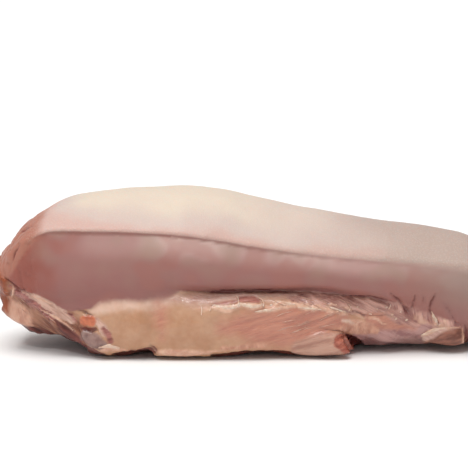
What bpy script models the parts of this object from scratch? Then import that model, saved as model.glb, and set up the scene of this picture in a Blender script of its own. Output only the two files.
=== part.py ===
"""Raw beef tongue, 370 mm long, lying on its trimmed underside.

The cut root is at -X and the tip at +X, the rough upper face looks up (+Z) and the floor is
z = 0. The tongue is grown in one piece, so it is one solid: a body lofted along its length, with
the loose lobes of its trim fused on.
"""

import math

import bmesh
import bpy
from mathutils import Vector, noise

MM = 0.001

# Driving sizes, in millimetres. x runs from the root to the tip.
ROOT_X, TIP_X = -185.0, 185.0
ROOT_CAP, TIP_CAP = 28.0, 45.0  # lengths over which the two ends round off
ROOT_BLUNTNESS, TIP_BLUNTNESS = (3.0, 2.6), (2.2, 2.0)  # powers of their rounding, (2, 2) an ellipse
ROOT_CENTRE, TIP_CENTRE = 35.0, 12.0  # heights of the ends' foremost points
TIP_LEAN, LEAN_START = 5.0, 70.0  # how far the free tip lies over to one side, and from which x

# Lines along the length, each as (x, value) knots in millimetres.
CREST_HEIGHT = (
    (-185, 63), (-177, 66.4), (-172, 71), (-165, 75.2), (-159, 79), (-152, 84), (-146, 87.6), (-137, 90.7),
    (-121, 92.9), (-100, 95), (-75, 95.9), (-49, 94.2), (-36, 91.2), (-24, 88.6), (-6, 84.8), (12, 81.6),
    (42, 75.6), (72, 72.2), (91, 69.2), (104, 66.4), (125, 59.5), (150, 47), (170, 37), (185, 31),
)  # fmt: skip
EDGE_HALF_WIDTH = (
    (-185, 33), (-160, 38), (-122, 44), (-75, 47), (-30, 45), (50, 38), (100, 35), (185, 31),
)  # fmt: skip
EDGE_HEIGHT = (
    (-185, 56), (-170, 67), (-160, 73), (-150, 76.6), (-114, 77), (-74, 75.5), (-55, 73), (-28, 68),
    (0, 63.8), (35, 59.5), (68, 56.6), (97, 53), (112, 48.8), (128, 42), (150, 31), (170, 22), (185, 18),
)  # fmt: skip
WAIST_HALF_WIDTH = (
    (-185, 31), (-150, 39), (-120, 44.5), (-73, 45), (-30, 42.5), (50, 34.5), (100, 28), (185, 24),
)  # fmt: skip
FOLD_HEIGHT = (
    (-185, 38), (-120, 40), (-73, 40.5), (-40, 40), (0, 40), (20, 38.5), (36, 36), (54, 31.5), (70, 27),
    (100, 18), (130, 9), (185, 7),
)  # fmt: skip
FOLD_DEPTH = (
    (-185, 0), (-108, 0.5), (-85, 2.5), (-65, 7), (0, 8.5), (40, 5.5), (70, 2.5), (95, 0.5), (185, 0),
)  # fmt: skip
TRIM_HALF_WIDTH = (
    (-185, 27), (-150, 36), (-120, 45), (-73, 47.5), (-30, 46), (14, 42), (32, 32), (96, 27.5), (103, 22),
    (185, 20),
)  # fmt: skip
BASE_HALF_WIDTH = (
    (-185, 18), (-150, 27), (-120, 39), (-73, 43), (-30, 42), (14, 37), (32, 25), (96, 20), (104, 12),
    (185, 15),
)  # fmt: skip
BASE_HEIGHT = (
    (-185, 11), (-180, 13.5), (-172, 13.9), (-160, 12.7), (-148, 10.8), (-142, 8.2), (-135, 3.8),
    (-129, 0.8), (-122, 0), (24, 0), (38, 2), (60, 2.8), (97, 2.8), (104, 3.6), (122, 2.5), (140, 0),
    (165, 0), (185, 3),
)  # fmt: skip

ARCH_POWER = 2.2  # fullness of the upper face, 2 being a parabola
LIP_DROP, LIP_INSET = 2.6, 1.2  # the step under the edge of the rough upper skin
WALL_BULGE = 1.0  # how far the smooth side swells past that edge

# Points around one half of a section, from crest to keel, span by span.
ARCH_STEPS, LIP_STEPS, WALL_STEPS, FOLD_STEPS, TRIM_STEPS, BASE_STEPS = 7, 2, 6, 4, 6, 3
HALF_RING = ARCH_STEPS + LIP_STEPS + WALL_STEPS + FOLD_STEPS + TRIM_STEPS + BASE_STEPS

# Stations along the length: the end caps are spaced by angle, and the runs by (start, end, step).
CAP_STATIONS = 8
STATION_RUNS = (
    (ROOT_X + ROOT_CAP, 24, 4.0),
    (24, 100, 3.1),
    (100, TIP_X - TIP_CAP, 5.0),
)

NEAR, FAR = -1, 1  # the side at -Y, which the lobes mark out, and the side at +Y

# Bumps that lift the rim of the underside off the floor: (x, reach to -X, reach to +X, rise).
RIM_LIFTS = {
    NEAR: ((-91, 16, 4, 4.4), (-24, 24, 22, 2.6), (36, 6, 14, 7.0), (62, 20, 60, 5.5)),
    FAR: ((-100, 18, 10, 3.5), (-48, 6, 20, 3.0), (28, 16, 20, 5.5), (70, 20, 60, 4.5)),
}

# Creases of the loose skin beside the bridle under the tongue: (x, z) ends, depth and half width.
CREASES = {
    NEAR: (
        ((27, 35.5), (40, 36.5), 1.6, 2.2),
        ((40, 36.5), (54, 30), 2.0, 2.2),
        ((55, 37), (65, 26.5), 2.8, 2.2),
        ((70, 35), (68.5, 27), 2.2, 2.0),
        ((82, 35), (78.5, 24), 3.0, 2.2),
        ((80, 29), (84, 18.5), 2.4, 2.0),
        ((86.5, 30), (87, 20), 2.0, 2.0),
        ((90.5, 30), (95, 18.5), 2.2, 2.0),
    ),
    FAR: (
        ((26, 37), (48, 31), 2.0, 2.4),
        ((58, 36), (64, 25), 2.6, 2.2),
        ((76, 36), (72, 22), 2.8, 2.2),
        ((88, 31), (86, 17), 2.2, 2.0),
    ),
}

# Lobes of trim, each as knots of (x, y, z, half height, half depth).
LOBES = {
    # the loose end of lean trim that points at the tip
    "lean_flap": (
        (-30, -33, 10, 8, 8), (-10, -35, 9.8, 9, 9.5), (7, -36, 9.4, 8.8, 9.5),
        (18, -37, 8.8, 8.2, 8.5), (25, -38.5, 6.6, 6.0, 7.5), (29, -40, 4, 3.4, 5.5),
    ),
    # the end of the bridle, cut square
    "bridle_end": (
        (71, -22, 8, 1.6, 4), (80, -24, 8.8, 4, 5), (89, -25.5, 9.8, 5.6, 5.5), (96.5, -25, 9.8, 6, 5),
    ),
    # the knuckle of gristle at the root
    "gristle": (
        (-136, -33.5, 9.5, 4, 5), (-128, -36.5, 9, 7, 7), (-119, -39, 8, 7.4, 7.6), (-110, -40, 6, 4, 6),
    ),
    # the edge of the throat skin, which runs down across the cut root
    "throat_hem": (
        (-180, -20, 41, 3, 2.4), (-167, -31.5, 37, 3.4, 2.6), (-154, -35.5, 29.5, 3.6, 2.6),
        (-145, -37, 20.5, 3.6, 2.6), (-137, -37, 13, 3.4, 3), (-131, -36.5, 9, 3, 3.4),
    ),
    # the same things on the far side, which aren't alike
    "far_flap": (
        (28, 31, 8.5, 6.5, 7), (10, 34.5, 8.5, 7.8, 9), (-8, 37.5, 7.6, 7, 8.5),
        (-17, 39.5, 5.4, 4.8, 7), (-22, 41, 3.4, 2.4, 4),
    ),
    "far_hem": (
        (-178, 22, 40, 3, 2.4), (-164, 32, 35, 3.4, 2.6), (-150, 35.5, 26, 3.6, 2.8),
        (-138, 37, 16, 3.6, 3), (-129, 38, 9, 3.2, 3.4),
    ),
}  # fmt: skip
LOBE_SEGMENTS, LOBE_RINGS = 12, 14
LOBE_FLOOR = 0.4  # lobes stay this far above the floor

# The lower, ragged edge of the skin along the trim, as (x, height) knots, and how far it wanders.
CUT_EDGE_HEIGHT = (
    (-185, 44), (-163, 37), (-148, 31), (-135, 27), (-122, 30), (-108, 35), (-75, 35), (-61, 29),
    (-45, 26.5), (-37, 32), (-10, 31.5), (26, 25), (60, 18), (96, 14),
)  # fmt: skip
CUT_EDGE_WANDER, CUT_EDGE_TOOTH = 4.0, 11.0
CUT_EDGE_END = (106, 96)  # the skin is whole beyond the bridle: the edge fades out over this x
SKIN_STEP = 1.3  # how far the skin stands proud of the trim along its cut edge

# The cut root lies below a line that slopes down from (x, height), behind the skin beside it.
HEM_START, HEM_SLOPE = (-180, 43), 0.76
ROOT_FACE_END = (-116, -124)  # the x over which the cut root begins
CUT_RECESS = 2.6
MUSCLE_STUBS = ((-183, -6, 40), (-182, 12, 30), (-178, -16, 26), (-180, 4, 52))  # on the cut root
STUB_REACH, STUB_RISE = 9.0, 3.0

LUMP_SIZE, LUMP_HEIGHT = 42.0, 0.9  # slow unevenness all over
TRIM_LUMP_SIZE, TRIM_LUMP_HEIGHT = 15.0, 2.6  # on the fat and lean below the fold
CRAG_LENGTH, CRAG_WIDTH, CRAG_HEIGHT = 16.0, 6.5, 2.6  # of the torn strips just under the skin's edge
CRAG_LEAN = 0.45  # the strips run down towards the tip by this much
CRAG_DEPTH = 14.0  # the height of the band that they cover
CRAG_START = (-118, -100)  # the x over which they begin


def along(line, x):
    """The value of a line at x: a monotone cubic through its knots, so it never overshoots them."""
    xs = [knot[0] for knot in line]
    values = [knot[1] for knot in line]
    if x <= xs[0]:
        return values[0]
    if x >= xs[-1]:
        return values[-1]
    rises = [(values[i + 1] - values[i]) / (xs[i + 1] - xs[i]) for i in range(len(xs) - 1)]
    slopes = [0.0]
    for before, after in zip(rises, rises[1:]):
        slopes.append(0.0 if before * after <= 0 else 2 * before * after / (before + after))
    slopes.append(0.0)
    i = max(k for k in range(len(xs) - 1) if xs[k] <= x)
    width = xs[i + 1] - xs[i]
    t = (x - xs[i]) / width
    return (
        values[i] * (1 + 2 * t) * (1 - t) ** 2
        + values[i + 1] * t * t * (3 - 2 * t)
        + slopes[i] * width * t * (1 - t) ** 2
        - slopes[i + 1] * width * t * t * (1 - t)
    )


def smooth(low, high, value):
    """0 below low, 1 above high and an even S between them. low may be the larger."""
    t = min(1.0, max(0.0, (value - low) / (high - low)))
    return t * t * (3 - 2 * t)


def bump(value, centre, reach_down, reach_up):
    """1 at the centre, falling to 0 at each reach."""
    reach = reach_down if value < centre else reach_up
    return smooth(reach, 0, abs(value - centre))


def sampled(points, steps):
    """Points along a Catmull-Rom curve through the given ones, with so many steps on each span."""
    first, last = points[0] * 2 - points[1], points[-1] * 2 - points[-2]
    chain = [first, *points, last]
    made = []
    for i, count in enumerate(steps):
        a, b, c, d = chain[i : i + 4]
        for k in range(count):
            t = k / count
            quadratic = (2 * a - 5 * b + 4 * c - d) * t**2
            cubic = (3 * b - a - 3 * c + d) * t**3
            made.append(0.5 * (2 * b + (c - a) * t + quadratic + cubic))
    return made + [points[-1]]


def half_section(x, side):
    """Points of (half width, height) down one side of the section at x, from crest to keel."""
    crest, edge_height, edge = along(CREST_HEIGHT, x), along(EDGE_HEIGHT, x), along(EDGE_HALF_WIDTH, x)
    fold_height, waist = along(FOLD_HEIGHT, x), along(WAIST_HALF_WIDTH, x)
    trim, base = along(TRIM_HALF_WIDTH, x), along(BASE_HALF_WIDTH, x)
    keel = along(BASE_HEIGHT, x)
    rim = keel + sum(rise * bump(x, at, down, up) for at, down, up, rise in RIM_LIFTS[side])
    wall = edge_height - fold_height

    arch = []
    for k in range(ARCH_STEPS):
        share = 0.5 * k / ARCH_STEPS + 0.5 * math.sin(math.pi / 2 * k / ARCH_STEPS)
        arch.append(Vector((edge * share, edge_height + (crest - edge_height) * (1 - share**ARCH_POWER))))

    landmarks = [
        Vector((edge, edge_height)),
        Vector((edge - LIP_INSET, edge_height - LIP_DROP)),
        Vector((edge * 0.6 + waist * 0.4 + WALL_BULGE, edge_height - 0.45 * wall)),
        Vector((waist, fold_height + 0.16 * wall)),
        Vector((waist - along(FOLD_DEPTH, x), fold_height)),
        Vector((trim * 0.6 + waist * 0.4 - 2.0, keel + 0.84 * (fold_height - keel))),
        Vector((trim, keel + 0.5 * (fold_height - keel))),
        Vector((base * 0.25 + trim * 0.75, rim + 0.12 * (fold_height - keel))),
        Vector((base, rim)),
    ]
    side_steps = (LIP_STEPS, WALL_STEPS - 2, 2, 2, 2, 2, 2, TRIM_STEPS - 4)
    down_the_side = sampled(landmarks, side_steps)
    flat = [Vector((base * share, keel)) for share in (0.66, 0.33, 0.0)]
    return arch + down_the_side + flat


def end_rounding(x):
    """How far the section is drawn in towards the end's centre at x: 1 for not at all, 0 for a point."""
    into_root = max(0.0, (ROOT_X + ROOT_CAP - x) / ROOT_CAP)
    into_tip = max(0.0, (x - TIP_X + TIP_CAP) / TIP_CAP)
    root = (1 - min(1.0, into_root) ** ROOT_BLUNTNESS[0]) ** (1 / ROOT_BLUNTNESS[1])
    tip = (1 - min(1.0, into_tip) ** TIP_BLUNTNESS[0]) ** (1 / TIP_BLUNTNESS[1])
    return min(root, tip)


def stations():
    """The x of every ring of the loft, pole to pole."""
    quarter = [math.pi / 2 * k / CAP_STATIONS for k in range(CAP_STATIONS + 1)]
    found = [ROOT_X + ROOT_CAP * (1 - math.cos(turn)) for turn in quarter[:-1]]
    for start, end, step in STATION_RUNS:
        count = round((end - start) / step)
        found += [start + (end - start) * k / count for k in range(count)]
    found += [TIP_X - TIP_CAP * (1 - math.sin(turn)) for turn in quarter]
    return found


def ring_points(x):
    """The section at x as (y, z) points, crest down the near side to the keel and up the far side."""
    near = half_section(x, NEAR)
    far = half_section(x, FAR)
    loop = [Vector((NEAR * p.x, p.y)) for p in near[:-1]]
    loop += [Vector((FAR * p.x, p.y)) for p in reversed(far[1:])]
    centre = Vector((0, ROOT_CENTRE if x < 0 else TIP_CENTRE))
    share = end_rounding(x)
    lean = Vector((TIP_LEAN * smooth(LEAN_START, TIP_X, x), 0))
    return [centre + (p - centre) * share + lean for p in loop]


def sphere_mesh(segments, rings):
    """A UV sphere in a new bmesh, with each vertex's (ring, segment) place beside it, from +Y on."""
    mesh = bmesh.new()
    bmesh.ops.create_uvsphere(mesh, u_segments=segments, v_segments=rings, radius=1.0)
    places = []
    for vertex in mesh.verts:
        ring = round(math.acos(max(-1.0, min(1.0, -vertex.co.z))) / math.pi * rings)
        segment = round(math.atan2(vertex.co.x, vertex.co.y) / math.tau * segments) % segments
        places.append((vertex, ring, segment))
    return mesh, places


def crease_depth(point):
    """How deep the creases beside the bridle cut at a point of the side."""
    side = NEAR if point.y < 0 else FAR
    here = Vector((point.x, point.z))
    deepest = 0.0
    for start, end, depth, half_width in CREASES[side]:
        start, run = Vector(start), Vector(end) - Vector(start)
        share = max(0.0, min(1.0, (here - start).dot(run) / run.length_squared))
        away = (here - start - run * share).length
        deepest = max(deepest, depth * math.exp(-((away / half_width) ** 2)))
    return deepest * smooth(14, 20, abs(point.y))


def on_cut_root(point):
    """1 on the cut root below the throat skin's edge, 0 above it."""
    hem_height = HEM_START[1] - (point.x - HEM_START[0]) * HEM_SLOPE
    return smooth(hem_height - 1, hem_height - 6, point.z) * smooth(*ROOT_FACE_END, point.x)


def cut_edge_height(x):
    """Height of the lower, ragged edge of the skin along the trim."""
    return along(CUT_EDGE_HEIGHT, x) + CUT_EDGE_WANDER * noise.noise(Vector((x / CUT_EDGE_TOOTH, 4.2, 0)))


def crags(point):
    """The height of the torn strips at a point just under the skin's edge: ridges that slant down."""
    across = point.z + CRAG_LEAN * point.x
    ridges = noise.noise(Vector((point.x / CRAG_LENGTH, across / CRAG_WIDTH, math.copysign(3, point.y))))
    under_edge = cut_edge_height(point.x) - point.z
    in_band = smooth(-1, 2, under_edge) * smooth(CRAG_DEPTH, CRAG_DEPTH / 2, under_edge)
    return CRAG_HEIGHT * ridges * in_band * smooth(*CRAG_START, point.x)


def relief(point):
    """How far the surface stands out from the plain loft at a point, in millimetres."""
    off_floor = smooth(0.2, 5.0, point.z)
    before_tip = smooth(*CUT_EDGE_END, point.x)
    above_cut = point.z - cut_edge_height(point.x)
    on_trim = smooth(0, -6, above_cut) * before_tip * smooth(1, 12, point.z)
    rise = LUMP_HEIGHT * noise.noise(point / LUMP_SIZE)
    rise += TRIM_LUMP_HEIGHT * noise.noise(point / TRIM_LUMP_SIZE + Vector((7, 0, 0))) * on_trim
    rise += crags(point) * before_tip
    rise += SKIN_STEP * smooth(-1.5, 1.5, above_cut) * before_tip
    rise -= CUT_RECESS * on_cut_root(point)
    for centre in MUSCLE_STUBS:
        rise += STUB_RISE * smooth(STUB_REACH, 0, (point - Vector(centre)).length)
    rise -= crease_depth(point)
    return rise * off_floor


def away_from_axis(point):
    """The direction straight out from the line that runs through the middle of the tongue."""
    share = smooth(ROOT_X, TIP_X, point.x)
    height = ROOT_CENTRE + (TIP_CENTRE - ROOT_CENTRE) * share
    nearest = min(TIP_X - TIP_CAP, max(ROOT_X + ROOT_CAP, point.x))
    return (point - Vector((nearest, 0, height))).normalized()


def finish_mesh(mesh, name):
    """A mesh in metres from a bmesh in millimetres, closed and facing out."""
    mesh.normal_update()
    bmesh.ops.recalc_face_normals(mesh, faces=mesh.faces)
    bmesh.ops.scale(mesh, vec=(MM, MM, MM), verts=mesh.verts)
    data = bpy.data.meshes.new(name)
    mesh.to_mesh(data)
    mesh.free()
    made = bpy.data.objects.new(name, data)
    bpy.context.scene.collection.objects.link(made)
    return made


def build_body():
    """The body of the tongue: a sphere's rings drawn out into sections from the root to the tip."""
    station_xs = stations()
    mesh, places = sphere_mesh(2 * HALF_RING, len(station_xs) - 1)
    loops = [ring_points(x) for x in station_xs]
    for vertex, ring, segment in places:
        y, z = loops[ring][segment]
        vertex.co = (station_xs[ring], y, z)
    for vertex in mesh.verts:
        vertex.co += away_from_axis(vertex.co) * relief(vertex.co)
        vertex.co.z = max(vertex.co.z, 0.0)
    return finish_mesh(mesh, "beef_tongue")


def build_lobe(name, knots):
    """A lobe of trim: a sphere's rings strung along the knots, each an ellipse across the run."""
    mesh, places = sphere_mesh(LOBE_SEGMENTS, LOBE_RINGS)
    lines = [[(k, knot[axis]) for k, knot in enumerate(knots)] for axis in range(5)]
    for vertex, ring, segment in places:
        turn = ring / LOBE_RINGS * math.pi
        at = (len(knots) - 1) * 0.5 * (1 - math.cos(turn))
        x, y, z, half_height, half_depth = (along(line, at) for line in lines)
        ahead = Vector([along(line, at + 0.1) - along(line, at - 0.1) for line in lines[:3]])
        ahead = ahead.normalized() if ahead.length else Vector((1, 0, 0))
        outward = Vector((0, math.copysign(1, y), 0))
        upward = outward.cross(ahead).normalized()
        if upward.z < 0:
            upward.negate()
        round_off = math.sin(turn) ** 0.4 if 0 < ring < LOBE_RINGS else 0.0
        angle = segment / LOBE_SEGMENTS * math.tau
        ring_point = outward * (half_depth * math.cos(angle)) + upward * (half_height * math.sin(angle))
        spot = Vector((x, y, z)) + ring_point * round_off
        uneven = 1 + 0.12 * noise.noise(spot / 6.0)
        vertex.co = Vector((x, y, z)) + ring_point * round_off * uneven
        vertex.co.z = max(vertex.co.z, LOBE_FLOOR)
    return finish_mesh(mesh, name)


def fuse(body, lobes):
    """Joins the lobes to the body as one solid, and removes their own objects."""
    collection = bpy.data.collections.new("lobes")
    bpy.context.scene.collection.children.link(collection)
    for lobe in lobes:
        bpy.context.scene.collection.objects.unlink(lobe)
        collection.objects.link(lobe)
    join = body.modifiers.new("lobes", "BOOLEAN")
    join.operation = "UNION"
    join.operand_type = "COLLECTION"
    join.collection = collection
    join.solver = "MANIFOLD"
    bpy.context.view_layer.update()
    evaluated = body.evaluated_get(bpy.context.evaluated_depsgraph_get())
    joined = bpy.data.meshes.new_from_object(evaluated)
    body.modifiers.clear()
    body.data = joined
    for lobe in lobes:
        bpy.data.objects.remove(lobe)
    bpy.data.collections.remove(collection)


def keep_outer_shell(body):
    """Fills any hollow that fusing sealed, and drops loose scraps: only the largest shell stays."""
    mesh = bmesh.new()
    mesh.from_mesh(body.data)
    waiting = set(mesh.verts)
    shells = []
    while waiting:
        shell, front = set(), [waiting.pop()]
        while front:
            vertex = front.pop()
            shell.add(vertex)
            for edge in vertex.link_edges:
                other = edge.other_vert(vertex)
                if other in waiting:
                    waiting.remove(other)
                    front.append(other)
        shells.append(shell)
    outer = max(shells, key=len)
    bmesh.ops.delete(mesh, geom=[v for v in mesh.verts if v not in outer], context="VERTS")
    mesh.to_mesh(body.data)
    mesh.free()


def centre_on_base(body):
    """Moves the mesh so that the origin is the middle of its outline, on the floor."""
    xs = [vertex.co.x for vertex in body.data.vertices]
    ys = [vertex.co.y for vertex in body.data.vertices]
    middle = Vector(((min(xs) + max(xs)) / 2, (min(ys) + max(ys)) / 2, 0))
    for vertex in body.data.vertices:
        vertex.co -= middle


def raw_flesh():
    """Wet raw meat under pale mouth skin."""
    material = bpy.data.materials.new("raw_flesh")
    material.use_nodes = True
    shader = material.node_tree.nodes["Principled BSDF"]
    shader.inputs["Base Color"].default_value = (0.52, 0.27, 0.22, 1)
    shader.inputs["Roughness"].default_value = 0.45
    shader.inputs["Metallic"].default_value = 0.0
    return material


def main():
    for old in list(bpy.data.objects):
        bpy.data.objects.remove(old)
    body = build_body()
    fuse(body, [build_lobe(name, knots) for name, knots in LOBES.items()])
    keep_outer_shell(body)
    centre_on_base(body)
    body.data.materials.clear()
    body.data.materials.append(raw_flesh())
    body.data.shade_smooth()


main()
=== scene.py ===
"""The looks of a raw beef tongue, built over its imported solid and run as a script.

Sizes and places are in millimetres: x runs from the cut root to the tip, z is the height over the
floor, and the near side is at -y. The sizes and colours to change are in the property groups.
"""

import math
import random

import bmesh
import bpy
import numpy as np
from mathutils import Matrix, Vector, noise
from mathutils.bvhtree import BVHTree


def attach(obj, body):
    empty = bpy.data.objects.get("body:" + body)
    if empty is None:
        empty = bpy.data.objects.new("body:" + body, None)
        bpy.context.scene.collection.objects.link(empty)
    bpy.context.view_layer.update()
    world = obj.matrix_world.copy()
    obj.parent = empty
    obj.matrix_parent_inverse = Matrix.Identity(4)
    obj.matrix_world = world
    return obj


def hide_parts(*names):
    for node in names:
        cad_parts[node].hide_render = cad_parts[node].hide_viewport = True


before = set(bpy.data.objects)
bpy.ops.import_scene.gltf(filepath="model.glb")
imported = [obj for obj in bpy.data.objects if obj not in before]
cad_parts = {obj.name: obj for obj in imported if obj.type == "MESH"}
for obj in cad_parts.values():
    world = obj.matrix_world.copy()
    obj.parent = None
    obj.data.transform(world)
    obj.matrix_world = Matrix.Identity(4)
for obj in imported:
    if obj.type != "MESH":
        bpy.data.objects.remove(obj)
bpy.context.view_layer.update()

bl_info = {
    "name": "Raw beef tongue",
    "version": (1, 0, 0),
    "blender": (4, 5, 0),
    "location": "View3D > Sidebar > Tongue",
    "description": "Skin, fat, lean and membranes of a raw tongue over its packed solid",
    "category": "Object",
}

MM = 0.001
NEAR, FAR = -1, 1
FAR_SHIFT = 9.0  # the far side's lines lie this much further to the root
ROOT_HALF_WIDTH = 44
CUT_HALF_WIDTH, CUT_MIDDLE_Z, CUT_HALF_HEIGHT = 34, 32, 20  # the face of the cut root
FLANK, OUTSIDE = 35, 90  # how far from the middle a side lies, and a place clear of the flesh
PAPILLA_GAP = 1.3
FLOOR_GAP = 0.3  # keeps the board and the flesh's flat base apart

# The photo's view: what the camera aims at in the middle plane, its distance, and the cosine and sine
# of the 9 degrees that it looks down.
AIM_X, AIM_Z, AIM_SEEN_Z = -40.5, 73.2, 72.3
VIEW_DISTANCE = 1150
VIEW_COS, VIEW_SIN = 0.988, 0.156
# The lines and runs below were laid over the photo with this tilt and scale, for flesh whose half
# width along x is READ_HALF_WIDTH.
READ_TILT, READ_SCALE = 0.139, 0.99
READ_HALF_WIDTH = ((-183, 33), (-150, 38), (-120, 45), (-75, 46), (0, 43), (40, 34), (80, 28), (100, 27))

# Lines along the length, each as (x, z) knots. The ridge and the tuck are real heights over the
# floor. The others were read off the photo, in the measure that as_seen gives.
RIDGE_HEIGHT = (
    (-185.6, 30), (-177, 42), (-174.5, 50), (-169.6, 58.4), (-164.7, 66.4), (-155.6, 73.8), (-148, 76.2),
    (-138, 76.9), (-114, 77), (-74, 75.5), (-55, 73), (-28, 68),
    (0, 63.8), (35, 59.5), (68, 56.6), (97, 53), (112, 48.8), (128, 42), (150, 30.6), (160, 25),
    (170, 19.7), (178, 16.2), (185.6, 13),
)  # fmt: skip
FOLD_HEIGHT = (
    (-185, 38), (-120, 40), (-73, 40), (-40, 39.5), (0, 39.5), (20, 37), (36, 35), (54, 31.5), (70, 27),
    (100, 18), (130, 9), (185, 7),
)  # fmt: skip
SKIN_EDGE_HEIGHT = (
    (-232, 60), (-205, 57), (-190, 52), (-185.6, 49.6), (-182.4, 48), (-179.6, 45.6), (-175.7, 41.6),
    (-170.8, 38.4), (-164.7, 36.9), (-157.4, 34.8), (-151.3, 31.6), (-145, 28.4), (-139.2, 26.4),
    (-134.3, 26.4), (-128.2, 28.4), (-121, 31.8), (-110, 33.4), (-95, 33.4), (-86, 33.8), (-79, 36),
    (-72, 39.2), (-52, 38.7), (-25, 39.8), (0, 39.6), (12, 38), (25.3, 35.8), (42.3, 34.1), (49.6, 32.1),
    (58.2, 30), (70, 26), (84, 21), (92, 19), (98, 16.5), (101.5, 7), (104, -4), (110, -14), (190, -20),
)  # fmt: skip
# The torn upper edge of the fat and lean, below which they stand proud of the membrane.
FAT_EDGE_HEIGHT = (
    (-92, 26), (-79, 29.5), (-70, 29), (-61, 28.4), (-53, 29.4), (-46, 29.6), (-40, 30.4), (-36, 31.4),
    (-30, 31.8), (-24, 31.2), (-19, 30.4), (-12, 32.2), (-5, 31), (0, 29.6), (12, 28), (22, 25.6),
    (34, 23.6), (46, 22), (56, 18), (70, 14),
)  # fmt: skip
# How high the base is drawn in under the rest.
TUCK_HEIGHT = (
    (-140, 9), (-131, 6), (-125, 3.6), (-118, 2.4), (-104, 3.6), (-92, 4.8), (-88, 2.6), (-60, 2.4),
    (-40, 4.0), (-24, 5.4), (-8, 4.8), (4, 2.6), (40, 2.4),
)  # fmt: skip

# Half the height over which the skin's edge fades out, as (x, half height) knots.
EDGE_SOFTNESS = (
    (-185, 0.5), (-132, 0.6), (-122, 2.2), (-80, 2.8), (-70, 0.7), (50, 0.8), (64, 3), (80, 2.4), (92, 1),
    (190, 1),
)  # fmt: skip

# How strong a colour is along the length, each as (x, share) knots: the painted highlight just under the
# ridge, the painted shade over the fold and the painted shade in the groove under the rough skin's edge.
HIGHLIGHT_BAND = (
    (-185, 0), (-150, 0.05), (-140, 0.12), (-128, 0.3), (-104, 0.36), (-90, 0.75), (-79, 1), (-60, 1),
    (-45, 0.75), (-31, 0.55), (-15, 0.6), (0, 0.8), (15, 0.7), (30, 0.5), (61, 0.48), (185, 0.45),
)  # fmt: skip
SHADE_BAND = ((-185, 0.3), (-150, 0.9), (-125, 0.8), (-85, 0.6), (-60, 1), (0, 1), (40, 0.5), (185, 0.3))
# Painted shade: how strong the dark line in the groove under the rough skin's edge is.
RIDGE_GROOVE_SHADE = (
    (-160, 0), (-150, 0.7), (-140, 1), (-60, 1), (-30, 0.75), (0, 0.5), (30, 0.35), (60, 0.18), (95, 0),
)  # fmt: skip

# Creases as runs of (x, z, half width): the dark gaps that the light doesn't reach.
CREASES = {
    NEAR: (
        ((-84, 38.6, -1.4), (-73, 39.7, -0.8), (-61, 39.4, -0.1), (-54, 39.0, 0.5), (-40, 39.2, 1.0),
         (-33, 39.4, 0.6), (-22, 39.6, 0.9), (-12, 39.1, 0.8), (-4, 39.0, 0.3), (2, 38.8, -0.4),
         (12, 38, -0.6), (25, 35.9, -0.1), (34, 34.8, 0.4), (42, 34.1, 0.6), (50, 32.2, 0.5),
         (60, 29.5, -0.5)),
        ((55.1, 35.8, 0.1), (59, 31.7, 0.7), (65.4, 25.2, 0.1)),
        ((69.9, 34.6, 0.0), (69.2, 31, 0.6), (67.6, 26.8, 0.0)),
        ((75.6, 35, -0.3), (74.8, 32, 0.1), (74.3, 29, -0.3)),
        ((82.3, 34.4, 0.2), (80, 30, 0.7), (78.7, 25.2, 0.4), (80.5, 21.5, 0.2), (84.2, 17, 0.4)),
        ((86, 30, -0.4), (90.6, 24.5, 0.0), (94.8, 16.5, -0.2)),
        ((99.6, 17, -0.2), (101.6, 12, 0.9), (102.4, 5, 1.4)),
        ((-180.5, 46, 0.3), (-177, 43.4, 0.8), (-173, 39.6, 0.7), (-168, 37.2, 0.2), (-162, 35.6, -0.3)),
        ((-135.5, 27.4, 0.0), (-131, 26, 0.5), (-126.5, 24, 0.0)),
        ((-137.5, 18.2, -0.1), (-135, 14.5, 0.25), (-131, 5, 0.1)),
        ((-139, 6.0, 0.2), (-131, 2.4, 2.4), (-125, 0, 2.3), (-119, -2, 1.5)),
        ((-131.5, 15.2, -0.1), (-127, 14.2, 0.7), (-123.5, 15.2, 0.1)),
        ((-163, 78.2, -0.2), (-168.5, 75.4, 0.5), (-172.5, 73.4, 0.1)),
        ((-171, 66, 0.0), (-174.2, 60.5, 0.5), (-175.6, 55, 0.0)),
        ((24.7, 14, -0.3), (29.2, 10.5, 0.5), (33.2, 7, 1.8), (35.7, 3.5, 1.8)),
        ((28.5, 29.5, -0.3), (31.5, 26, 0.2), (38, 23.4, 0.1), (50, 22.6, -0.2)),
        ((10.7, 17, -0.7), (17.4, 14.6, -0.1), (23.5, 14.3, 0.2), (27, 12.6, 0.4)),
        ((-54, -1.0, 0.6), (-40, -0.6, 1.8), (-25, -0.4, 2.6), (-10, -0.6, 2.4), (-1, -1.4, 1.0)),
        ((-91.5, 6, -0.1), (-89.5, 4.6, 0.7), (-87.5, 2.4, 0.5)),
        ((-113, -1, 1.4), (-104, 0.4, 1.9), (-96, 0.9, 2.2), (-91.4, 1.6, 2.4), (-89.4, 1.4, 1.2)),
    ),
    FAR: (
        ((-92, 38.5, -1.2), (-82, 39.5, 0.2), (-60, 39.2, 1.0), (-33, 39.6, 1.1), (-9, 39.2, 0.7),
         (16, 36.6, 0.2), (33, 34.9, 0.5), (46, 32, -0.3)),
        ((26, 37, -0.1), (38, 34.5, 0.4), (48, 31, -0.1)),
        ((58, 36, 0.0), (61, 30, 0.5), (64, 25, -0.1)),
        ((76, 36, 0.0), (74, 29, 0.6), (72, 22, 0.0)),
        ((88, 31, -0.1), (86.6, 24, 0.4), (86, 17, -0.1)),
        ((-178, 44, 0.3), (-168, 37.5, 0.4), (-152, 30, 0.1), (-141, 23, -0.2)),
        ((-24, 14, 0.0), (-20, 11, 0.7), (-26, 6, 0.6)),
    ),
}  # fmt: skip

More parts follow.
